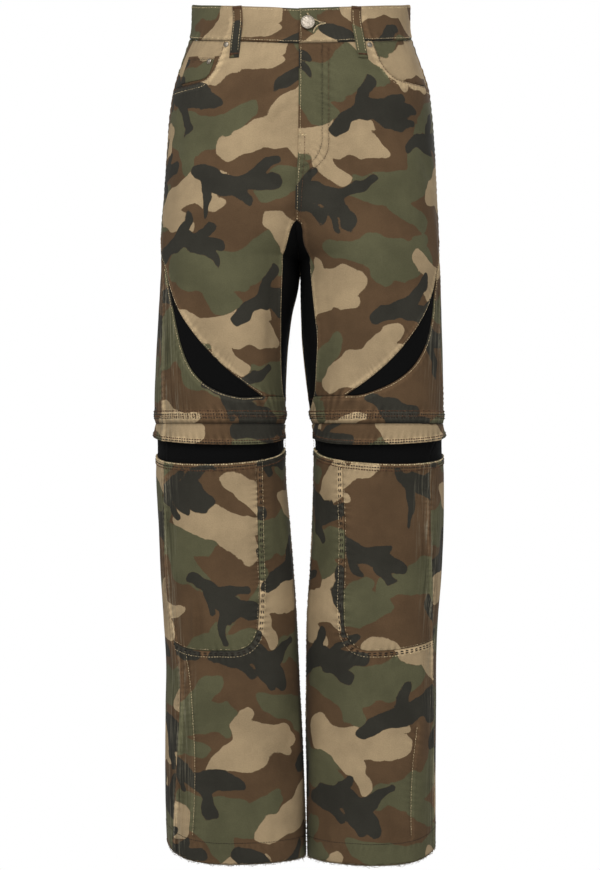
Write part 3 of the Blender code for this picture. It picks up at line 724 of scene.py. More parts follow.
LEVEL = {
    "waistband": 0.5, "pocket_facing": -1.0, "coin_pocket": -0.15, "thigh_crescent": -0.7,
    "inner_insert": -0.7, "knee_ring_front": -1.8, "knee_ring_back": -1.8, "back_pocket": 1.3,
}
WALL = {
    "waistband": BAND, "coin_pocket": 0.8, "thigh_crescent": KNIT, "inner_insert": KNIT,
    "knee_ring_front": KNIT, "knee_ring_back": KNIT, "back_pocket": 1.2,
}
FLY_LAP = 26.0             # width of the cloth that the lap lifts or presses down, beside the fly
CROTCH_LAP = 12.0          # and below it
FLY_FADE = 20.0            # height over which the one narrows to the other
LAP_SOFT = 5.0             # width over which the cloth lifts
LAP_HEIGHTS = (FORK + 8, FORK + 30)    # where the lift begins and is full
FLY_RISE = {"right": -0.9, "left": 0.8}


def rise(piece, leg, u, z):
    """Height of a piece's outer face above the smooth cloth, seams and creases apart."""
    height = np.full(len(u), LEVEL.get(piece, 0.0))
    if piece.startswith("knee_flap"):
        height += flap_rise(u, z)
    if piece in ("front", "waistband", "inner_insert"):
        end = leg.front_limit(z)
        wide = np.interp(z, (FLY_FOOT - FLY_FADE, FLY_FOOT), (CROTCH_LAP, FLY_LAP))
        lap = smooth_step(u, end - wide, end - wide + LAP_SOFT) * smooth_step(z, *LAP_HEIGHTS)
        height += lap * FLY_RISE[leg.side]
    return height


# ---------------------------------------------------------------- the cloth's print

LEVELS = ("green", "tan", "black")
UNPRINTED = -30.0
REPEAT = np.array((460.0, 520.0))      # the print starts again after this, across and down

# A blot is a bent stem with arms to either side by turns. Its heading is in degrees, 0 across to
# the right and 90 down; bend is how far the stem turns along its length.
Blot = namedtuple("Blot", "across down heading length width bend arms")
BLOTS = {
    "green": (
        Blot(70, 60, -15, 150, 24, 30, 2), Blot(262, 38, 10, 130, 20, -30, 2),
        Blot(392, 112, -20, 120, 24, 40, 2), Blot(152, 172, 15, 140, 22, -20, 2),
        Blot(330, 232, -10, 170, 26, 30, 3), Blot(60, 282, -25, 120, 22, 20, 2),
        Blot(202, 342, 5, 150, 24, -35, 2), Blot(402, 372, -20, 130, 22, 30, 2),
        Blot(92, 442, 12, 150, 24, 25, 2), Blot(290, 466, -12, 140, 22, -20, 2),
    ),
    "tan": (
        Blot(172, 88, -32, 120, 21, 50, 3), Blot(340, 62, 24, 90, 18, -45, 2),
        Blot(30, 172, 18, 110, 21, -40, 2), Blot(250, 176, -20, 120, 22, 40, 3),
        Blot(424, 214, 30, 100, 19, 30, 2), Blot(134, 256, -14, 120, 21, -30, 3),
        Blot(302, 312, 22, 110, 22, 45, 2), Blot(36, 372, -28, 110, 20, 35, 3),
        Blot(196, 418, 16, 120, 21, -40, 2), Blot(384, 462, -22, 110, 20, 40, 3),
    ),
    "brown": (
        Blot(228, 122, 30, 50, 8, 20, 1), Blot(92, 330, -20, 54, 8, 30, 1),
        Blot(330, 268, 12, 48, 8, -20, 1), Blot(402, 424, 25, 52, 8, 25, 1),
    ),
    "black": (
        Blot(112, 122, 22, 116, 13, -40, 4), Blot(300, 104, -16, 110, 13, 50, 4),
        Blot(436, 36, 28, 90, 12, -30, 3), Blot(62, 226, -24, 104, 13, 45, 4),
        Blot(208, 236, 20, 112, 13, -45, 4), Blot(372, 168, 10, 100, 12, 40, 4),
        Blot(142, 318, -12, 112, 13, 40, 4), Blot(432, 302, 24, 100, 13, -40, 4),
        Blot(262, 386, -22, 116, 13, 45, 4), Blot(52, 474, 18, 100, 12, -35, 4),
        Blot(352, 414, -14, 92, 12, 30, 3), Blot(178, 496, 14, 108, 13, 40, 4),
    ),
}
STEM_STEPS = 7
ARM_STEPS = 3
WANDER = 12.0              # how far a stem's heading sways, degrees
Wave = namedtuple("Wave", "size reach")
PRINT_WAVES = (Wave(36, 9.0), Wave(15, 4.2), Wave(4.5, 0.8))      # they bend the print's edges


def stem(start, headings, length, halves):
    """Chain of across, down and half-width that sets out from a place."""
    step = length / (len(headings) - 1)
    moves = np.column_stack((np.cos(headings), np.sin(headings))) * step
    places = start + np.cumsum(moves, axis=0) - moves[0]
    return np.column_stack((places, halves))


def grown(blot):
    """A blot's stem and arms as chains, measured from the middle of the blot."""
    t = np.linspace(0, 1, STEM_STEPS)
    wander = WANDER * np.sin(6 * t + blot.across)
    headings = np.radians(blot.heading + blot.bend * (t - 0.5) + wander)
    halves = blot.width * (0.42 + 0.58 * np.sin(np.pi * (0.1 + 0.75 * t)))
    trunk = stem(np.zeros(2), headings, blot.length, halves)
    trunk[:, :2] -= trunk[:, :2].mean(axis=0)
    chains = [trunk]
    for arm in range(blot.arms):
        at = (arm + 1) * (STEM_STEPS - 1) // (blot.arms + 1)
        turn = (-1) ** arm * np.radians(52 + 16 * np.sin(arm + blot.down))
        reach = blot.length * (0.38 + 0.1 * np.sin(2 * arm + blot.across))
        headings_out = headings[at] + turn * np.linspace(1, 0.65, ARM_STEPS)
        narrowing = halves[at] * np.linspace(0.85, 0.45, ARM_STEPS)
        chains.append(stem(trunk[at, :2], headings_out, reach, narrowing))
    return chains


GROWN = [(colour, blot, grown(blot)) for colour, blots in BLOTS.items() for blot in blots]


def chain_depth(chain, across, down):
    """How far inside a chain each point lies; outside it is negative."""
    best = np.full(len(across), UNPRINTED)
    for start, end in zip(chain, chain[1:]):
        span = end - start
        t = ((across - start[0]) * span[0] + (down - start[1]) * span[1]) / (span[0] ** 2 + span[1] ** 2)
        t = np.clip(t, 0, 1)
        gap = np.hypot(across - start[0] - t * span[0], down - start[1] - t * span[1])
        best = np.maximum(best, start[2] + t * span[2] - gap)
    return best


def printed(across, down):
    """Distance inside each of the print's colours, with each blot printed over those before it."""
    bent = np.column_stack((across, down)).astype(float)
    for number, wave in enumerate(PRINT_WAVES):
        for column in (0, 1):
            seed = 21 + 2 * number + column
            bent[:, column] += wave.reach * cloud(across / wave.size, down / wave.size, seed)
    fields = {level: np.full(len(across), UNPRINTED) for level in LEVELS}
    for colour, blot, chains in GROWN:
        away = (bent - (blot.across, blot.down) + REPEAT / 2) % REPEAT - REPEAT / 2
        near = np.flatnonzero(np.hypot(*away.T) < 0.9 * blot.length + blot.width - UNPRINTED)
        depth = np.max([chain_depth(chain, *away[near].T) for chain in chains], axis=0)
        for level in LEVELS:
            if level == colour:
                fields[level][near] = np.maximum(fields[level][near], depth)
            else:
                fields[level][near] = np.minimum(fields[level][near], -depth)
    return fields


OTHER = {"right": "left", "left": "right"}
# Where each piece is cut from the cloth, across and down: the right side's, then the left's.
CUT_FROM = {
    "waistband": ((60, 60), (330, 190)), "pocket_facing": ((110, 40), (300, 120)),
    "coin_pocket": ((200, 150), (0, 0)), "front": ((40, 20), (410, 250)),
    "thigh_side": ((260, 330), (90, 60)), "knee_flap_front": ((150, 420), (380, 300)),
    "knee_panel": ((300, 90), (120, 400)), "shin": ((20, 210), (350, 30)),
    "yoke": ((180, 300), (70, 130)), "back": ((390, 160), (230, 460)),
    "back_pocket": ((320, 20), (30, 350)), "knee_flap_back": ((240, 200), (440, 90)),
    "calf": ((130, 370), (280, 220)),
}
LOOP_SHIFT = 95.0          # from one belt loop's place in the cloth to the next one's


def print_fields(piece, side, u, z):
    """The print on a piece, which is cut from its own place in the cloth."""
    across, down = CUT_FROM[piece][side == "left"]
    return printed(across - SIGN[side] * u, down - z)


# ---------------------------------------------------------------- closed shells


def normalised(vectors):
    return vectors / np.maximum(np.linalg.norm(vectors, axis=-1, keepdims=True), 1e-9)


def border_of(triangles):
    """Edges that only one triangle has, as arrays of start, end and that triangle's third corner."""
    sides = np.concatenate([triangles[:, [a, b, c]] for a, b, c in ((0, 1, 2), (1, 2, 0), (2, 0, 1))])
    key = np.sort(sides[:, :2], axis=1)
    _, first, count = np.unique(key, axis=0, return_index=True, return_counts=True)
    return sides[first[count == 1]]


def drawn_in(corners, border, amount):
    """Corner places with the border moved in by an amount."""
    start, end, third = border.T
    along = corners[end] - corners[start]
    inwards = normalised(np.column_stack((-along[:, 1], along[:, 0])))
    towards = ((corners[third] - corners[start]) * inwards).sum(axis=1)
    inwards[towards < 0] *= -1
    mean = np.zeros_like(corners)
    np.add.at(mean, start, inwards)
    np.add.at(mean, end, inwards)
    return corners + normalised(mean) * amount * (np.abs(mean).sum(axis=1, keepdims=True) > 0)


PRESS_BEND = 2.4           # about the fork the thighs press together along a surface that slants
PRESS_REACH = 30.0         # from front to back, the same on both, so the gap between them is kept
PRESS_WIDTH = 9.0
PRESS_HEIGHTS = (FORK - 32, FORK - 12, FORK + 15, FORK + 45)      # it grows, is full, and fades
CLEAR_FOOT = FORK - 24.0   # down to here the halves keep to their own sides of the centre plane
MEET = 1.6                 # a seam's middle row this near to the plane is put on it,
MEET_FOOT = FORK - 2.0     # down to here


def own_half(leg, place, gap, u, meet=0.0):
    """Places kept clear of the centre plane about the fork, but for the lap of the left front.

    Those nearer to the plane than meet are put beside it. The slant about the fork is added here too.
    """
    sign = SIGN[leg.side]
    over = (place[:, 2] > CLEAR_FOOT) & (place[:, 0] * sign < gap)
    over |= (place[:, 2] > MEET_FOOT) & (place[:, 0] * sign < meet)
    if leg.side == "left":
        over &= (u < 0) | (place[:, 2] < LAP[-1, 0])
    place[over, 0] = sign * gap
    height = place[:, 2]
    window = smooth_step(height, *PRESS_HEIGHTS[:2]) * (1 - smooth_step(height, *PRESS_HEIGHTS[2:]))
    close = np.exp(-(place[:, 0] / PRESS_WIDTH) ** 2)
    place[:, 0] += PRESS_BEND * np.clip(place[:, 1] / PRESS_REACH, -1, 1) * window * close
    return place


def mesh_object(name, points, triangles, attributes, material):
    """Object of a triangle mesh given in millimetres, with float attributes on its points."""
    mesh = bpy.data.meshes.new(name)
    mesh.vertices.add(len(points))
    mesh.vertices.foreach_set("co", np.ravel(points * MM).astype(np.float32))
    mesh.loops.add(3 * len(triangles))
    mesh.loops.foreach_set("vertex_index", np.ravel(triangles).astype(np.int32))
    mesh.polygons.add(len(triangles))
    mesh.polygons.foreach_set("loop_start", np.arange(0, 3 * len(triangles), 3, dtype=np.int32))
    mesh.update(calc_edges=True)
    mesh.shade_smooth()
    for key, values in attributes.items():
        if values.ndim == 2:
            layer = mesh.attributes.new(key, "FLOAT_VECTOR", "POINT")
            layer.data.foreach_set("vector", np.ravel(values).astype(np.float32))
        else:
            layer = mesh.attributes.new(key, "FLOAT", "POINT")
            layer.data.foreach_set("value", values.astype(np.float32))
    mesh.materials.append(material)
    made = bpy.data.objects.new(name, mesh)
    bpy.context.scene.collection.objects.link(made)
    return made


def shell_triangles(triangles, border, count):
    """Triangles of outer face, inner face and a rim of three rows, for count corners a layer."""
    start, end, _ = border.T
    outer, inner, middle = 0, count, 2 * count
    rows = []
    for high, low in ((outer, middle), (middle, inner)):
        rows.append(np.column_stack((start + high, start + low, end + low)))
        rows.append(np.column_stack((start + high, end + low, end + high)))
    return np.concatenate([triangles, triangles[:, ::-1] + inner] + rows)


WORN_CORE = 8.0            # the cloth is rubbed most this near to the side seam
WORN_REACH = 34.0          # and not at all beyond this
WORN_THIGH_REACH = 75.0
WORN_TOP = -300.0
WORN_FULL = -380.0


def worn_strip(piece, side, u, z):
    """How much the cloth is rubbed in streaks, beside the side seam of the lower thigh and leg."""
    reach = WORN_THIGH_REACH if piece == "thigh_side" else WORN_REACH
    away = np.abs(u - round_at(smooth_line(OUTSEAM[side]), z))
    return smooth_step(-z, -WORN_TOP, -WORN_FULL) * (1 - smooth_step(away, WORN_CORE, reach))


def cloth_piece(name, piece, leg, seams, corners, triangles, material):
    """One sewn piece as a closed shell with a rolled edge."""
    used, local = np.unique(triangles, return_inverse=True)
    local = local.reshape(-1, 3)
    flat = corners[used]
    if SIGN[leg.side] < 0:
        local = local[:, ::-1]
    border = border_of(local)
    u, z = flat.T
    wall = WALL.get(piece, TWILL)
    relief = seam_relief(seams, u, z)
    folds = fold_relief(leg.side, u, z)
    outer_height = rise(piece, leg, u, z) + relief + folds
    layers = []
    for drawn, height, meet in ((EDGE_ROLL, outer_height, 0), (EDGE_ROLL, outer_height - wall, 0),
                                (EDGE_GAP, outer_height - wall / 2, MEET)):
        place_u, place_z = drawn_in(flat, border, drawn).T
        place = leg.point(place_u, place_z) + leg.normal(place_u, place_z) * height[:, None]
        layers.append(own_half(leg, place, EDGE_GAP, place_u, meet))
    faces = shell_triangles(local, border, len(flat))
    fields = print_fields(piece, leg.side, u, z) if piece in PRINTED else {}
    inside_out = np.concatenate([np.full(len(flat), value) for value in (0.0, 1.0, 0.5)])
    attributes = {key: np.tile(values, 3) for key, values in fields.items()}
    # The seams' relief also drives the colour: painted shade in their grooves and troughs, paler wear on
    # their ridges.
    attributes["relief"] = np.tile(relief, 3)
    attributes["worn"] = np.tile(worn_strip(piece, leg.side, u, z), 3)
    attributes["within"] = inside_out
    attributes["cloth"] = np.tile(np.column_stack((u, z, np.full(len(u), SIGN[leg.side] * 500.0))), (3, 1))
    places = np.concatenate(layers)
    needed, faces = np.unique(faces, return_inverse=True)
    faces = faces.reshape(-1, 3)
    attributes = {key: values[needed] for key, values in attributes.items()}
    made = mesh_object(name + "_cloth", places[needed], faces, attributes, material)
    first, second, third = (flat[local[:, k]] for k in range(3))
    area = np.abs(np.cross(second - first, third - first)).sum() / 2
    finish_piece(made, name, flat, area)
    return made


LEAST_FILLED = 0.301       # of its rectangle; a bent strip that fills less is given a narrower one


def cut_size(flat):
    """Width and length, in mm, of the smallest rectangle that a flat piece is cut from."""
    best = None
    for turn in np.radians(np.arange(0, 90, 5)):
        across = flat @ (math.cos(turn), math.sin(turn))
        along = flat @ (-math.sin(turn), math.cos(turn))
        size = (np.ptp(across), np.ptp(along))
        if best is None or size[0] * size[1] < best[0] * best[1]:
            best = size
    return best


def finish_piece(made, name, flat, area):
    """Attaches a cloth piece to the root body and hides its imported part; its cut size is worked out but not
    used.
    """
    width, length = cut_size(flat)
    width = min(width, area / (LEAST_FILLED * length))
    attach(made, "root")
    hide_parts(name)


KNIT_PIECES = ("thigh_crescent", "inner_insert", "knee_ring")
PRINTED = ("waistband", "pocket_facing", "coin_pocket", "front", "thigh_side", "knee_flap_front",
           "knee_flap_back", "knee_panel", "shin", "calf", "back", "yoke", "back_pocket")


def build_side(cut, twill, knit):
    """All cloth pieces of one side."""
    leg = cut.leg
    corners, triangles, centres = cut.triangles()
    u, z = centres.T
    owners = [cut.pieces_at(u, z), cut.rings_at(u, z)]
    owners.append(np.where(inside(u, z, BACK_POCKET_LINE), "back_pocket", ""))
    if leg.side == "right":
        owners.append(np.where(inside(u, z, COIN_POCKET_LINE), "coin_pocket", ""))
    for found in owners:
        for piece in np.unique(found[found != ""]):
            name = "coin_pocket" if piece == "coin_pocket" else f"{piece}_{leg.side}"
            material = knit if piece.startswith(KNIT_PIECES) else twill
            cloth_piece(name, piece, leg, cut.seams, corners, triangles[found == piece], material)


# ---------------------------------------------------------------- threads


class Threads:
    """Gathers many small stitches, each a closed rod with pointed ends, into one mesh."""

    TEMPLATE = np.array([(-0.5, 0, 0), (-0.34, 1, 0), (-0.34, 0, 1), (-0.34, -1, 0), (-0.34, 0, -1),
                         (0.34, 1, 0), (0.34, 0, 1), (0.34, -1, 0), (0.34, 0, -1), (0.5, 0, 0)])
    FACES = np.array([(0, 2, 1), (0, 3, 2), (0, 4, 3), (0, 1, 4), (9, 5, 6), (9, 6, 7), (9, 7, 8), (9, 8, 5)]
                     + [face for k in range(4) for face in
                        ((1 + k, 1 + (k + 1) % 4, 5 + (k + 1) % 4), (1 + k, 5 + (k + 1) % 4, 5 + k))])

    def __init__(self, seed):
        self.random = np.random.default_rng(seed)
        self.points = []
        self.tones = []

    def add(self, middles, ways, normals, length, radius):
        """Rods at the middles, along the ways; length and radius are one value or one for each."""
        ways = normalised(ways)
        sides = normalised(np.cross(normals, ways))
        rises = np.cross(ways, sides)
        length = np.broadcast_to(length, len(middles))[:, None, None]
        radius = np.broadcast_to(radius, len(middles))[:, None, None]
        along, across, up = (self.TEMPLATE[:, k][None, :, None] for k in range(3))
        made = (middles[:, None] + ways[:, None] * along * length + sides[:, None] * across * radius
                + rises[:, None] * up * radius)
        self.points.append(made.reshape(-1, 3))
        self.tones.append(np.repeat(self.random.uniform(0, 1, len(middles)), len(self.TEMPLATE)))

    def build(self, name, material):
        points = np.concatenate(self.points)
        count = len(points) // len(self.TEMPLATE)
        steps = np.arange(count)[:, None, None] * len(self.TEMPLATE)
        faces = (self.FACES[None] + steps).reshape(-1, 3)
        made = mesh_object(name, points, faces, {"tone": np.concatenate(self.tones)}, material)
        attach(made, "root")
        return made


Stitch = namedtuple("Stitch", "length radius lift")
# Lift is how far a stitch's middle lies above the dimpled cloth.
PLAIN = Stitch(2.7, 0.34, 0.05)
HEAVY = Stitch(2.7, 0.8, 0.05)
RUNG = Stitch(4.6, 0.7, 0.1)
HOLE_EDGE = Stitch(2.0, 0.3, 0.15)
HOLE_SHADE = Stitch(2.2, 0.5, 0.0)
BAR = Stitch(1.8, 0.32, 0.2)
LOOP_BAR = Stitch(2.2, 0.36, 0.15)
LOOP_ROW = Stitch(2.7, 0.34, -0.1)
STITCH_PITCH = 3.3
HEAVY_SEAMS = ("thigh_hem", "flap_edge", "shin_top")
INSEAM_ROW = -3.0
RUNG_ROWS = (-3.0, -5.6)   # a ladder's rungs, then the plain row beyond them
RUNG_PITCH = 6.8
LADDER_EDGE = -7.6
LADDER_EDGE_PITCH = 3.4


def outer_place(cut, u, z, extra):
    """Points a little above the garment's outer face, with its normals."""
    leg = cut.leg
    pieces = cut.pieces_at(u, z)
    height = np.full(len(u), extra)
    for piece in np.unique(pieces):
        at = pieces == piece
        height[at] += rise(piece, leg, u[at], z[at])
    if leg.side == "right":
        height[inside(u, z, COIN_POCKET_LINE)] += LEVEL["coin_pocket"] - LEVEL["pocket_facing"]
    height[inside(u, z, BACK_POCKET_LINE)] += LEVEL["back_pocket"]
    height += seam_relief(cut.seams, u, z) + fold_relief(leg.side, u, z)
    normal = leg.normal(u, z)
    return leg.point(u, z) + normal * height[:, None], normal


def spaced(line, pitch, offset=0.0):
    """Places a pitch apart along a line moved sideways, with the line's direction there."""
    step = np.diff(line, axis=0)
    length = np.hypot(*step.T)
    along = np.concatenate(([0], np.cumsum(length)))
    stops = np.arange(pitch / 2, along[-1], pitch)
    way = np.column_stack([np.interp(stops, along[:-1] + length / 2, step[:, k] / length) for k in (0, 1)])
    way = normalised(way)
    place = np.column_stack([np.interp(stops, along, line[:, k]) for k in (0, 1)])
    return place + offset * np.column_stack((-way[:, 1], way[:, 0])), way


def stitch(threads, cut, place, way, kind=PLAIN):
    """Stitches lying along the cloth at places in (u, z)."""
    random = threads.random
    place = place + random.normal(0, 0.12, place.shape)
    way = way + random.normal(0, 0.05, way.shape)
    half = way * 0.5
    first, normal = outer_place(cut, *(place - half).T, kind.lift)
    last, _ = outer_place(cut, *(place + half).T, kind.lift)
    middle = (first + last) / 2
    length = kind.length * random.uniform(0.85, 1.1, len(middle))
    threads.add(middle, last - first, normal, length, kind.radius)


def stitch_row(threads, cut, name, offset, pitch=STITCH_PITCH, kind=PLAIN):
    """One row beside a seam, where it lies on the cloth that it belongs to."""
    place, way = spaced(cut.lines[name], pitch, offset)
    kept = on_cloth(cut, name, place)
    stitch(threads, cut, place[kept], way[kept], kind)


def stitch_side(cut, threads):
    """Every row of stitches of one side."""
    for name, seam in cut.seams.items():
        kind = HEAVY if name in HEAVY_SEAMS else PLAIN
        for offset, thread in seam.rows:
            stitch_row(threads[thread], cut, name, offset, STITCH_PITCH, kind)
        if seam.ladder:
            for offset in RUNG_ROWS:
                stitch_row(threads[seam.ladder], cut, name, offset, RUNG_PITCH, RUNG)
            stitch_row(threads[GOLD], cut, name, LADDER_EDGE, LADDER_EDGE_PITCH)
    place, way = spaced(cut.lines["inseam"], STITCH_PITCH, INSEAM_ROW)
    stitch(threads[GOLD], cut, place, way)


def on_cloth(cut, name, place):
    """Which places are on the cloth that the row belongs to."""
    u, z = place.T
    pieces = cut.pieces_at(u, z)
    kept = pieces != ""
    kept &= u < cut.leg.front_limit(z) - 0.5
    if name in ("waist_top", "waist"):
        kept &= pieces == "waistband"
    if name == "mouth":
        kept &= pieces == "front"
    if name == "back_pocket":
        kept &= pieces == "back"
    if name == "knee_panel":
        kept &= np.isin(pieces, ("knee_panel", "shin"))
    return kept


FLY_BAR_WIDTH = 9.0
FLY_BAR_IN = 5.0           # from the fly's edge to the bar's middle
BAR_PITCH = 0.55


def fly_bar(threads, cut):
    """A dense level bar of upright stitches at the foot of the fly."""
    count = int(FLY_BAR_WIDTH / BAR_PITCH)
    middle = float(cut.leg.front_limit(FLY_FOOT)) - FLY_BAR_IN
    across = middle + np.linspace(-0.5, 0.5, count) * FLY_BAR_WIDTH
    place = np.column_stack((across, np.full(count, FLY_FOOT)))
    stitch(threads, cut, place, np.tile((0.0, 1.0), (count, 1)), BAR)


BUTTON_AT = (195, -24.5)
HOLE_MOUTH = 193           # where the button pulls the hole open, by this much to each side
HOLE_HALF = 12
HOLE_TIP = (173, BUTTON_AT[1])
BUTTONHOLE = (*bowed((HOLE_MOUTH, BUTTON_AT[1] + HOLE_HALF), HOLE_TIP, -3, 0, 4),
              *bowed(HOLE_TIP, (HOLE_MOUTH, BUTTON_AT[1] - HOLE_HALF), -3, 0, 4)[1:])


def buttonhole(threads, cut):
    """A worked hole that the button pulls open: short stitches square to its outline."""
    outline = straight_line(BUTTONHOLE, 0.5)
    place, way = spaced(outline, 0.62)
    across = np.column_stack((-way[:, 1], way[:, 0]))
    stitch(threads[GOLD], cut, place, across, HOLE_EDGE)
    place, way = spaced(outline, 1.1, 1.2)
    stitch(threads[DARK], cut, place, way, HOLE_SHADE)


# ---------------------------------------------------------------- belt loops, button and rivets

LoopRow = namedtuple("LoopRow", "drop lift")
LOOP_ROWS = np.array((LoopRow(1, 0.4), LoopRow(7, 1.0), LoopRow(18, 2.0), LoopRow(31, 2.4),
                      LoopRow(43, 2.0), LoopRow(50, 1.3), LoopRow(57, 0.6), LoopRow(64, 0.5)))
LOOP_DROP = 64.0
LOOPS = {
    "belt_loop_front_right": ("right", 118, 137), "belt_loop_front_left": ("left", 129.5, 143),
    "belt_loop_side_right": ("right", -84, -88), "belt_loop_side_left": ("left", -84, -88),
    "belt_loop_back": (None, 0, 0),
}
LOOP_BARS = (3.6, LOOP_DROP - 4.5)     # how far down its bars of stitches lie
LOOP_BAR_COUNT = 22
LOOP_BAR_HALF = 0.44       # half a bar's width, as a share of the loop's
LOOP_ROW_AT = 0.7          # its rows run this share of the way to its edge
LOOP_ROW_CLEAR = 8.0       # and stop this far short of its ends


def loop_place(legs, name, across, drop):
    """Points and normals of the smooth cloth under a loop."""
    side, top_u, bottom_u = LOOPS[name]
    waist_top = smooth_line(WAIST_TOP)
    if side:
        middle = top_u + (bottom_u - top_u) * drop / LOOP_DROP
        z = height_at(waist_top, middle) - drop
        return legs[side].point(middle + across, z), legs[side].normal(middle + across, z)
    z = WAIST_TOP[0][1] - drop
    place = np.zeros((len(across), 3))
    normal = np.zeros((len(across), 3))
    for owner, at in (("right", across < 0), ("left", across >= 0)):
        ends = np.array([ring(owner, float(height))[3] for height in z[at]])
        place[at] = legs[owner].point(ends + np.abs(across[at]), z[at])
        normal[at] = legs[owner].normal(ends + np.abs(across[at]), z[at])
    return place, normal


def stitch_loop(threads, legs, name, across, drop, kind):
    """Upright stitches on a loop's outer face."""
    middle, out = loop_place(legs, name, across, drop)
    above, _ = loop_place(legs, name, across, drop - 1.0)
    height = np.interp(drop, LOOP_ROWS[:, 0], LOOP_ROWS[:, 1]) + LOOP_THICKNESS + kind.lift
    threads.add(middle + out * height[:, None], above - middle, out, kind.length, kind.radius)


def belt_loop(name, legs, threads, twill):
    """A folded strip that stands off the waistband, held by a bar of stitches at each end."""
    drops = np.linspace(0.6, LOOP_DROP, 42)
    columns = np.linspace(-1, 1, 11)
    drop, column = (grid.ravel() for grid in np.meshgrid(drops, columns, indexing="ij"))
    across = column * LOOP_WIDTH / 2
    place, normal = loop_place(legs, name, across, drop)
    lift = np.interp(drop, LOOP_ROWS[:, 0], LOOP_ROWS[:, 1])
    lift += 0.12 * np.sin(drop / 2.1) * np.abs(column)
    ends = np.minimum(smooth_step(drop, 0.6, 3), 1 - smooth_step(drop, LOOP_DROP - 2, LOOP_DROP))
    bulge = LOOP_THICKNESS * (1 - 0.45 * column ** 6) * (0.6 + 0.4 * ends)
    groove = 0.2 * np.exp(-((np.abs(column) - LOOP_ROW_AT) / 0.1) ** 2)
    outer = place + normal * (lift + bulge - groove)[:, None]
    inner = place + normal * (lift + 0.1)[:, None]
    wide = len(columns)
    k = np.arange(len(drops) * wide).reshape(len(drops), wide)
    corners = [k[:-1, :-1], k[1:, :-1], k[1:, 1:], k[:-1, 1:]]
    a, b, c, d = (corner.ravel() for corner in corners)
    faces = np.concatenate((np.column_stack((a, b, c)), np.column_stack((a, c, d))))
    border = border_of(faces)
    start, end, _ = border.T
    count = len(drop)
    rim = np.concatenate((np.column_stack((start, start + count, end + count)),
                          np.column_stack((start, end + count, end))))
    faces = np.concatenate((faces, faces[:, ::-1] + count, rim))
    fields = printed(across + LOOP_SHIFT * list(LOOPS).index(name), drop)
    attributes = {key: np.tile(values, 2) for key, values in fields.items()}
    # Through the relief that the material reads: painted shade along the grooves of the stitch rows, and
    # paler wear on the folded edges.
    attributes["relief"] = np.tile(-groove + 0.15 * (np.abs(column) > 0.9), 2)
    attributes["worn"] = np.zeros(2 * count)
    attributes["within"] = np.repeat((0.0, 1.0), count)
    attributes["cloth"] = np.tile(np.column_stack((across + 900, -drop, 0 * drop)), (2, 1))
    made = mesh_object(name + "_cloth", np.concatenate((outer, inner)), faces, attributes, twill)
    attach(made, "root")
    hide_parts(name)
    for bar_drop in LOOP_BARS:
        bar_across = np.linspace(-LOOP_BAR_HALF, LOOP_BAR_HALF, LOOP_BAR_COUNT) * LOOP_WIDTH
        stitch_loop(threads[RUST], legs, name, bar_across, np.full(LOOP_BAR_COUNT, bar_drop), LOOP_BAR)
    for edge in (-LOOP_ROW_AT, LOOP_ROW_AT):
        row_drop = np.arange(LOOP_ROW_CLEAR, LOOP_DROP - LOOP_ROW_CLEAR, STITCH_PITCH)
        row_across = np.full(len(row_drop), edge * LOOP_WIDTH / 2)
        stitch_loop(threads[GOLD], legs, name, row_across, row_drop, LOOP_ROW)


TURNS = 48
BUTTON_PROFILE = ((0.01, 3.35), (5.0, 3.3), (6.6, 3.25), (6.9, 3.15), (7.2, 3.5), (7.8, 3.75), (8.3, 3.5),
                  (8.7, 2.8), (8.4, 2.1), (7.6, 1.9), (3.0, 1.8), (3.0, -0.4), (0.01, -0.4))
RIVET_PROFILE = ((0.01, 1.6), (0.7, 1.55), (1.1, 1.2), (1.4, 0.95), (2.2, 1.05), (3.0, 0.8), (3.4, 0.4),
                 (3.5, 0.1), (3.4, -0.4), (0.01, -0.4))
TRIMS = {
    "button": ("left", *BUTTON_AT, 1.2, BUTTON_PROFILE),
    "rivet_right": ("right", 118.5, -47.5, 0.5, RIVET_PROFILE),
    "rivet_left": ("left", 126.5, -48.5, 0.5, RIVET_PROFILE),
    "rivet_coin": ("right", 101, -66, -0.1, RIVET_PROFILE),
}


def turned_trim(name, cuts, metal):
    """A round trim turned from its profile, standing on the cloth."""
    side, u, z, lift, profile = TRIMS[name]
    leg = cuts[side].leg
    middle = leg.point(np.array([u]), np.array([z]))[0]
    normal = leg.normal(np.array([u]), np.array([z]))[0]
    first = np.cross((0, 0, 1), normal)
    first /= np.linalg.norm(first)
    second = np.cross(normal, first)
    angle = np.arange(TURNS) * 2 * math.pi / TURNS
    spokes = np.cos(angle)[:, None] * first + np.sin(angle)[:, None] * second
    points = np.concatenate([middle + spokes * radius + normal * (height + lift)
                             for radius, height in profile])
    k = np.arange(TURNS)
    after = (k + 1) % TURNS
    faces = []
    for row in range(len(profile) - 1):
        upper, lower = row * TURNS, (row + 1) * TURNS
        faces.append(np.column_stack((upper + k, lower + k, lower + after)))
        faces.append(np.column_stack((upper + k, lower + after, upper + after)))
    last = (len(profile) - 1) * TURNS
    for base, order in ((0, 1), (last, -1)):
        fan = np.column_stack((np.full(TURNS - 2, base), base + k[1:-1], base + k[2:]))
        faces.append(fan[:, ::order])
    made = mesh_object(name + "_turned", points, np.concatenate(faces), {}, metal)
    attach(made, "root")
    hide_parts(name)


# ---------------------------------------------------------------- frayed hems


FRAY_PITCH = 0.62          # between loose warp ends
FRAY_PARTS = (0.15, 0.5, 0.85)         # a warp end is three rods, at these shares of its length
FRAY_LEAST = 0.6           # length of the shortest one
WEFT_PITCH = 2.4           # between loose weft threads


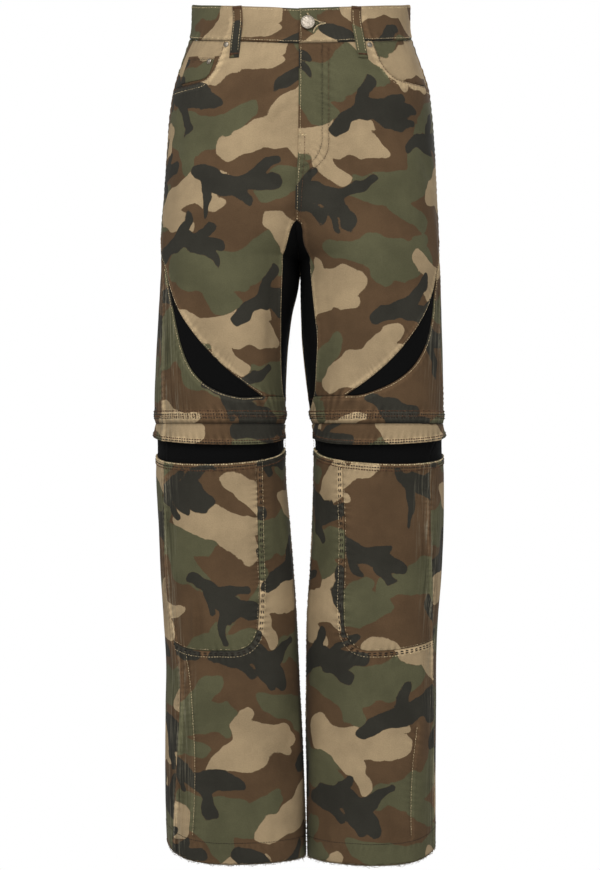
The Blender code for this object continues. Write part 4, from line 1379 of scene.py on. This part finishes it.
def frayed_hem(cut, strands):
    """Loose warp ends that hang from the raw edge, and a few weft threads that lie along it."""
    random = strands.random
    hem = cut.lines["hem"]
    place, _ = spaced(hem, FRAY_PITCH)
    count = len(place)
    place = place + random.normal(0, 0.35, place.shape)
    length = random.gamma(2, 0.4, count) + FRAY_LEAST
    lean = random.normal(0, 0.35, count)
    for share in FRAY_PARTS:
        at = place + np.column_stack((lean * length * share * (0.5 + share), 1.0 - length * share))
        ahead = at + np.column_stack((lean * (0.5 + 2 * share), -np.ones(count)))
        out = 0.3 + random.normal(0, 0.25, count) * share
        point, normal = outer_place(cut, *at.T, -0.4)
        tip, _ = outer_place(cut, *ahead.T, -0.4)
        point += normal * out[:, None]
        strands.add(point, tip - point + normal * out[:, None], normal, length * 0.42, 0.24 - 0.07 * share)
    place, way = spaced(hem, WEFT_PITCH)
    count = len(place)
    place = place + np.column_stack((random.normal(0, 1, count), random.uniform(-1.5, 2.5, count)))
    way = way + np.column_stack((np.zeros(count), random.normal(0, 0.25, count)))
    point, normal = outer_place(cut, *place.T, 0.1)
    tip, _ = outer_place(cut, *(place + way).T, 0.1)
    strands.add(point, tip - point, normal, random.uniform(4, 9, count), 0.2)


# ---------------------------------------------------------------- materials


def rgb(red, green, blue):
    """Linear colour of an sRGB one given from 0 to 255."""
    def linear(value):
        value /= 255
        return value / 12.92 if value <= 0.04045 else ((value + 0.055) / 1.055) ** 2.4
    return (linear(red), linear(green), linear(blue), 1.0)


class Nodes:
    """A node tree, with short calls that add a node and give its output."""

    def __init__(self, owner):
        owner.use_nodes = True
        self.tree = owner.node_tree

    def put(self, socket, value):
        if isinstance(value, bpy.types.NodeSocket):
            self.tree.links.new(value, socket)
        else:
            socket.default_value = value

    def node(self, kind, inputs, output=0, **settings):
        made = self.tree.nodes.new(kind)
        for key, value in settings.items():
            setattr(made, key, value)
        for key, value in inputs.items():
            self.put(made.inputs[key], value)
        return made.outputs[output]

    def math(self, operation, first, second=0.0):
        return self.node("ShaderNodeMath", {0: first, 1: second}, operation=operation)

    def ramp(self, value, low, high, to_low=0.0, to_high=1.0):
        inputs = {"Value": value, "From Min": low, "From Max": high, "To Min": to_low, "To Max": to_high}
        return self.node("ShaderNodeMapRange", inputs, interpolation_type="SMOOTHSTEP")

    def seen_by(self, *kinds):
        """1 for rays of any of the kinds, 0 for the rest."""
        rays = [self.node("ShaderNodeLightPath", {}, f"Is {kind} Ray") for kind in kinds]
        seen = rays[0]
        for ray in rays[1:]:
            seen = self.math("MAXIMUM", seen, ray)
        return seen


class Shader(Nodes):
    """A material's nodes, which end in its own surface."""

    def __init__(self, name):
        self.material = bpy.data.materials.new(name)
        super().__init__(self.material)
        self.surface = self.tree.nodes["Principled BSDF"]

    def attribute(self, name, output="Fac"):
        return self.node("ShaderNodeAttribute", {}, output, attribute_name=name)

    def mix(self, factor, first, second, blend="MIX"):
        return self.node("ShaderNodeMix", {0: factor, 6: first, 7: second}, 2, data_type="RGBA",
                         blend_type=blend)

    def noise(self, vector, scale, detail=2.0, roughness=0.5):
        inputs = {"Vector": vector, "Scale": scale, "Detail": detail, "Roughness": roughness}
        return self.node("ShaderNodeTexNoise", inputs)

    def scaled(self, vector, scale):
        return self.node("ShaderNodeVectorMath", {0: vector, 1: scale}, operation="MULTIPLY")

    def grey(self, value):
        return self.node("ShaderNodeCombineColor", {0: value, 1: value, 2: value})

    def finish(self, colour, roughness, bump=None, strength=0.3, distance=0.0002):
        self.put(self.surface.inputs["Base Color"], colour)
        self.put(self.surface.inputs["Roughness"], roughness)
        if bump is not None:
            inputs = {"Height": bump, "Strength": strength, "Distance": distance}
            self.put(self.surface.inputs["Normal"], self.node("ShaderNodeBump", inputs))
        return self.material


BROWN = rgb(94, 73, 52)
GREEN = rgb(92, 90, 66)
TAN = rgb(170, 148, 115)
CHARCOAL = rgb(54, 52, 45)
REVERSE = rgb(150, 138, 118)
RUBBED = rgb(140, 134, 114)
KNIT_BLACK = rgb(9, 9, 9)
STEEL = rgb(158, 149, 136)
TARNISH = rgb(128, 119, 106)
# Each thread's colour, and how far its stitches differ in tone.
THREAD_LOOKS = {
    GOLD: (rgb(196, 176, 138), 0.35), RUST: (rgb(78, 52, 34), 0.4),
    DARK: (rgb(40, 33, 26), 0.3), "hem_fray": (rgb(112, 99, 77), 0.35),
}


def twill_material():
    """Printed twill: a woodland print, washed unevenly, paler on its reverse and where it is worn; darker in
    its seams' grooves and pucker troughs as painted shade, and paler on their ridges as wear.
    """
    s = Shader("camouflage_twill")
    cloth = s.attribute("cloth", "Vector")
    edge = s.math("MULTIPLY", s.math("SUBTRACT", s.noise(cloth, 0.55, 3.0, 0.65), 0.5), 2.4)
    colour = BROWN
    for name, printed in (("green", GREEN), ("tan", TAN), ("black", CHARCOAL)):
        field = s.math("ADD", s.attribute(name), edge)
        colour = s.mix(s.ramp(field, -0.5, 0.5), colour, printed)
    blotch = s.ramp(s.noise(cloth, 0.02, 4.0, 0.6), 0.3, 0.7, 0.88, 1.13)
    streak = s.ramp(s.noise(s.scaled(cloth, (0.2, 0.012, 1.0)), 1.0, 3.0, 0.6), 0.3, 0.7, 0.99, 1.01)
    grain = s.ramp(s.noise(cloth, 0.7, 4.0, 0.75), 0.25, 0.75, 0.86, 1.14)
    tone = s.math("MULTIPLY", s.math("MULTIPLY", blotch, streak), grain)
    rubs = s.noise(s.scaled(cloth, (0.3, 0.013, 1.0)), 1.0, 4.0, 0.65)
    worn = s.attribute("worn")
    colour = s.mix(s.math("MULTIPLY", s.ramp(rubs, 0.5, 0.68), s.math("MULTIPLY", worn, 0.6)), colour, RUBBED)
    dark_rub = s.math("MULTIPLY", s.ramp(rubs, 0.5, 0.34), s.math("MULTIPLY", worn, 0.5))
    tone = s.math("MULTIPLY", tone, s.math("SUBTRACT", 1.0, dark_rub))
    # The seams' relief darkens the cloth in their grooves and pucker troughs as painted shade, and lightens
    # it on their ridges as rubbed wear.
    seam_shade_and_wear = s.node("ShaderNodeMapRange", {"Value": s.attribute("relief"), "From Min": -0.65, "From Max": 0.9,
                                         "To Min": 0.45, "To Max": 1.4})
    tone = s.math("MULTIPLY", tone, seam_shade_and_wear)
    colour = s.mix(1.0, colour, s.grey(tone), "MULTIPLY")
    pale = s.mix(0.62, colour, REVERSE)
    colour = s.mix(s.ramp(s.attribute("within"), 0.45, 0.75), colour, pale)
    twill = s.node("ShaderNodeTexWave", {"Vector": cloth, "Scale": 0.62, "Distortion": 1.2,
                                         "Detail Scale": 1.5}, 1, bands_direction="DIAGONAL")
    yarn = s.math("ADD", s.math("MULTIPLY", twill, 0.25), s.noise(cloth, 1.1, 3.0, 0.7))
    s.put(s.surface.inputs["Sheen Weight"], 0.02)
    s.put(s.surface.inputs["Specular IOR Level"], 0.12)
    return s.finish(colour, 0.9, yarn, 0.2, 0.0002)


def knit_material():
    """Black rib knit."""
    s = Shader("black_knit")
    cloth = s.attribute("cloth", "Vector")
    rib = s.node("ShaderNodeTexWave", {"Vector": cloth, "Scale": 0.24, "Distortion": 0.3}, 1,
                 bands_direction="X")
    fuzz = s.noise(cloth, 1.2, 3.0, 0.7)
    tone = s.ramp(s.math("ADD", s.math("MULTIPLY", rib, 0.4), fuzz), 0.3, 1.1, 0.7, 1.5)
    colour = s.mix(1.0, KNIT_BLACK, s.grey(tone), "MULTIPLY")
    s.put(s.surface.inputs["Specular IOR Level"], 0.1)
    return s.finish(colour, 0.95, s.math("ADD", rib, s.math("MULTIPLY", fuzz, 0.5)), 0.5, 0.0003)


def thread_material(name, colour, spread):
    """Spun thread whose stitches differ a little in tone."""
    s = Shader(name)
    tone = s.ramp(s.attribute("tone"), 0.0, 1.0, 1 - spread, 1 + spread)
    place = s.node("ShaderNodeTexCoord", {}, "Object")
    fibre = s.ramp(s.noise(place, 1500.0, 2.0), 0.3, 0.7, 0.85, 1.15)
    colour = s.mix(1.0, colour, s.grey(s.math("MULTIPLY", tone, fibre)), "MULTIPLY")
    s.put(s.surface.inputs["Specular IOR Level"], 0.25)
    return s.finish(colour, 0.7)


def metal_material():
    """Dull steel with a little tarnish."""
    s = Shader("trim_metal")
    place = s.node("ShaderNodeTexCoord", {}, "Object")
    patch = s.ramp(s.noise(place, 420.0, 4.0, 0.6), 0.35, 0.7)
    colour = s.mix(patch, STEEL, TARNISH)
    s.put(s.surface.inputs["Metallic"], 1.0)
    return s.finish(colour, s.math("ADD", s.math("MULTIPLY", patch, 0.15), 0.42))


# ---------------------------------------------------------------- studio

CAMERA_AWAY = 2.4
CAMERA_HEIGHT = -0.5267
CAMERA_LENS = 77.65
SENSOR = 36.0
FLOOR = -1.37
FLOOR_HALF = 14.0
FLOOR_GREY = 0.9
SHADOW_SIZE = 1.1          # the floor takes its light only this near to its middle
AMBIENT = 0.40
WHITE = (1, 1, 1, 1)
Softbox = namedtuple("Softbox", "name place target size power")
SOFTBOXES = (
    Softbox("key", (-0.5, -2.0, 1.25), (0, 0, -0.15), (1.5, 1.2), 46),
    Softbox("fill", (1.6, -1.8, 0.2), (0, 0, -0.4), (1.4, 1.8), 6),
    Softbox("rear", (0.6, 2.2, 0.8), (0, 0, -0.4), (1.6, 1.4), 34),
)


def make_floor():
    """A pale floor that the camera sees as white, except near its middle, where it takes its light."""
    data = bpy.data.meshes.new("floor")
    half = FLOOR_HALF
    data.from_pydata([(-half, -half, 0), (half, -half, 0), (half, half, 0), (-half, half, 0)], [],
                     [(0, 1, 2, 3)])
    floor = bpy.data.objects.new("floor", data)
    floor.location = (0, 0, FLOOR)
    bpy.context.scene.collection.objects.link(floor)
    s = Shader("floor")
    s.put(s.surface.inputs["Base Color"], (FLOOR_GREY, FLOOR_GREY, FLOOR_GREY, 1))
    s.put(s.surface.inputs["Roughness"], 0.9)
    place = s.node("ShaderNodeTexCoord", {}, "Object")
    away = s.node("ShaderNodeVectorMath", {0: place}, "Value", operation="LENGTH")
    far = s.ramp(away, SHADOW_SIZE / 2, SHADOW_SIZE)
    factor = s.math("MULTIPLY", s.seen_by("Camera", "Glossy", "Transmission"), far)
    white = s.node("ShaderNodeEmission", {"Strength": 1.0})
    mixed = s.node("ShaderNodeMixShader", {0: factor, 1: s.surface.outputs[0], 2: white})
    s.put(s.tree.nodes["Material Output"].inputs["Surface"], mixed)
    data.materials.append(s.material)


def make_world():
    """A white world that lights the garment more weakly than the camera sees it."""
    world = bpy.data.worlds.new("studio")
    bpy.context.scene.world = world
    s = Nodes(world)
    lit = s.tree.nodes["Background"]
    s.put(lit.inputs["Color"], WHITE)
    s.put(lit.inputs["Strength"], AMBIENT)
    white = s.node("ShaderNodeBackground", {"Color": WHITE, "Strength": 1.0})
    seen = s.seen_by("Camera", "Transmission")
    mixed = s.node("ShaderNodeMixShader", {0: seen, 1: lit.outputs[0], 2: white})
    s.put(s.tree.nodes["World Output"].inputs["Surface"], mixed)


def make_lamp(box):
    data = bpy.data.lights.new(box.name, "AREA")
    data.shape = "RECTANGLE"
    data.size, data.size_y = box.size
    data.energy = box.power
    lamp = bpy.data.objects.new(box.name, data)
    lamp.location = box.place
    towards = Vector(box.target) - Vector(box.place)
    lamp.rotation_euler = towards.to_track_quat("-Z", "Y").to_euler()
    bpy.context.scene.collection.objects.link(lamp)


def make_studio():
    make_floor()
    make_world()
    for box in SOFTBOXES:
        make_lamp(box)
    scene = bpy.context.scene
    scene.view_settings.view_transform = "Standard"
    data = bpy.data.cameras.new("camera")
    data.lens = CAMERA_LENS
    data.sensor_width = SENSOR
    camera = bpy.data.objects.new("camera", data)
    camera.location = (0, -CAMERA_AWAY, CAMERA_HEIGHT)
    camera.rotation_euler = (math.pi / 2, 0, 0)
    scene.collection.objects.link(camera)
    scene.camera = camera


# ---------------------------------------------------------------- assembly


def main():
    twill, knit, metal = twill_material(), knit_material(), metal_material()
    cuts = {side: Cut(Leg(side)) for side in SIGN}
    legs = {side: cut.leg for side, cut in cuts.items()}
    for side, leg in legs.items():
        leg.other = legs[OTHER[side]]
    threads = {name: Threads(number) for number, name in enumerate((GOLD, RUST, DARK), 31)}
    frays = Threads(41)
    for cut in cuts.values():
        build_side(cut, twill, knit)
        stitch_side(cut, threads)
        frayed_hem(cut, frays)
    for name in LOOPS:
        belt_loop(name, legs, threads, twill)
    buttonhole(threads, cuts["left"])
    fly_bar(threads[GOLD], cuts["left"])
    for name in TRIMS:
        turned_trim(name, cuts, metal)
    for name, gathered in (*threads.items(), ("hem_fray", frays)):
        gathered.build(name, thread_material(name, *THREAD_LOOKS[name]))
    make_studio()


main()
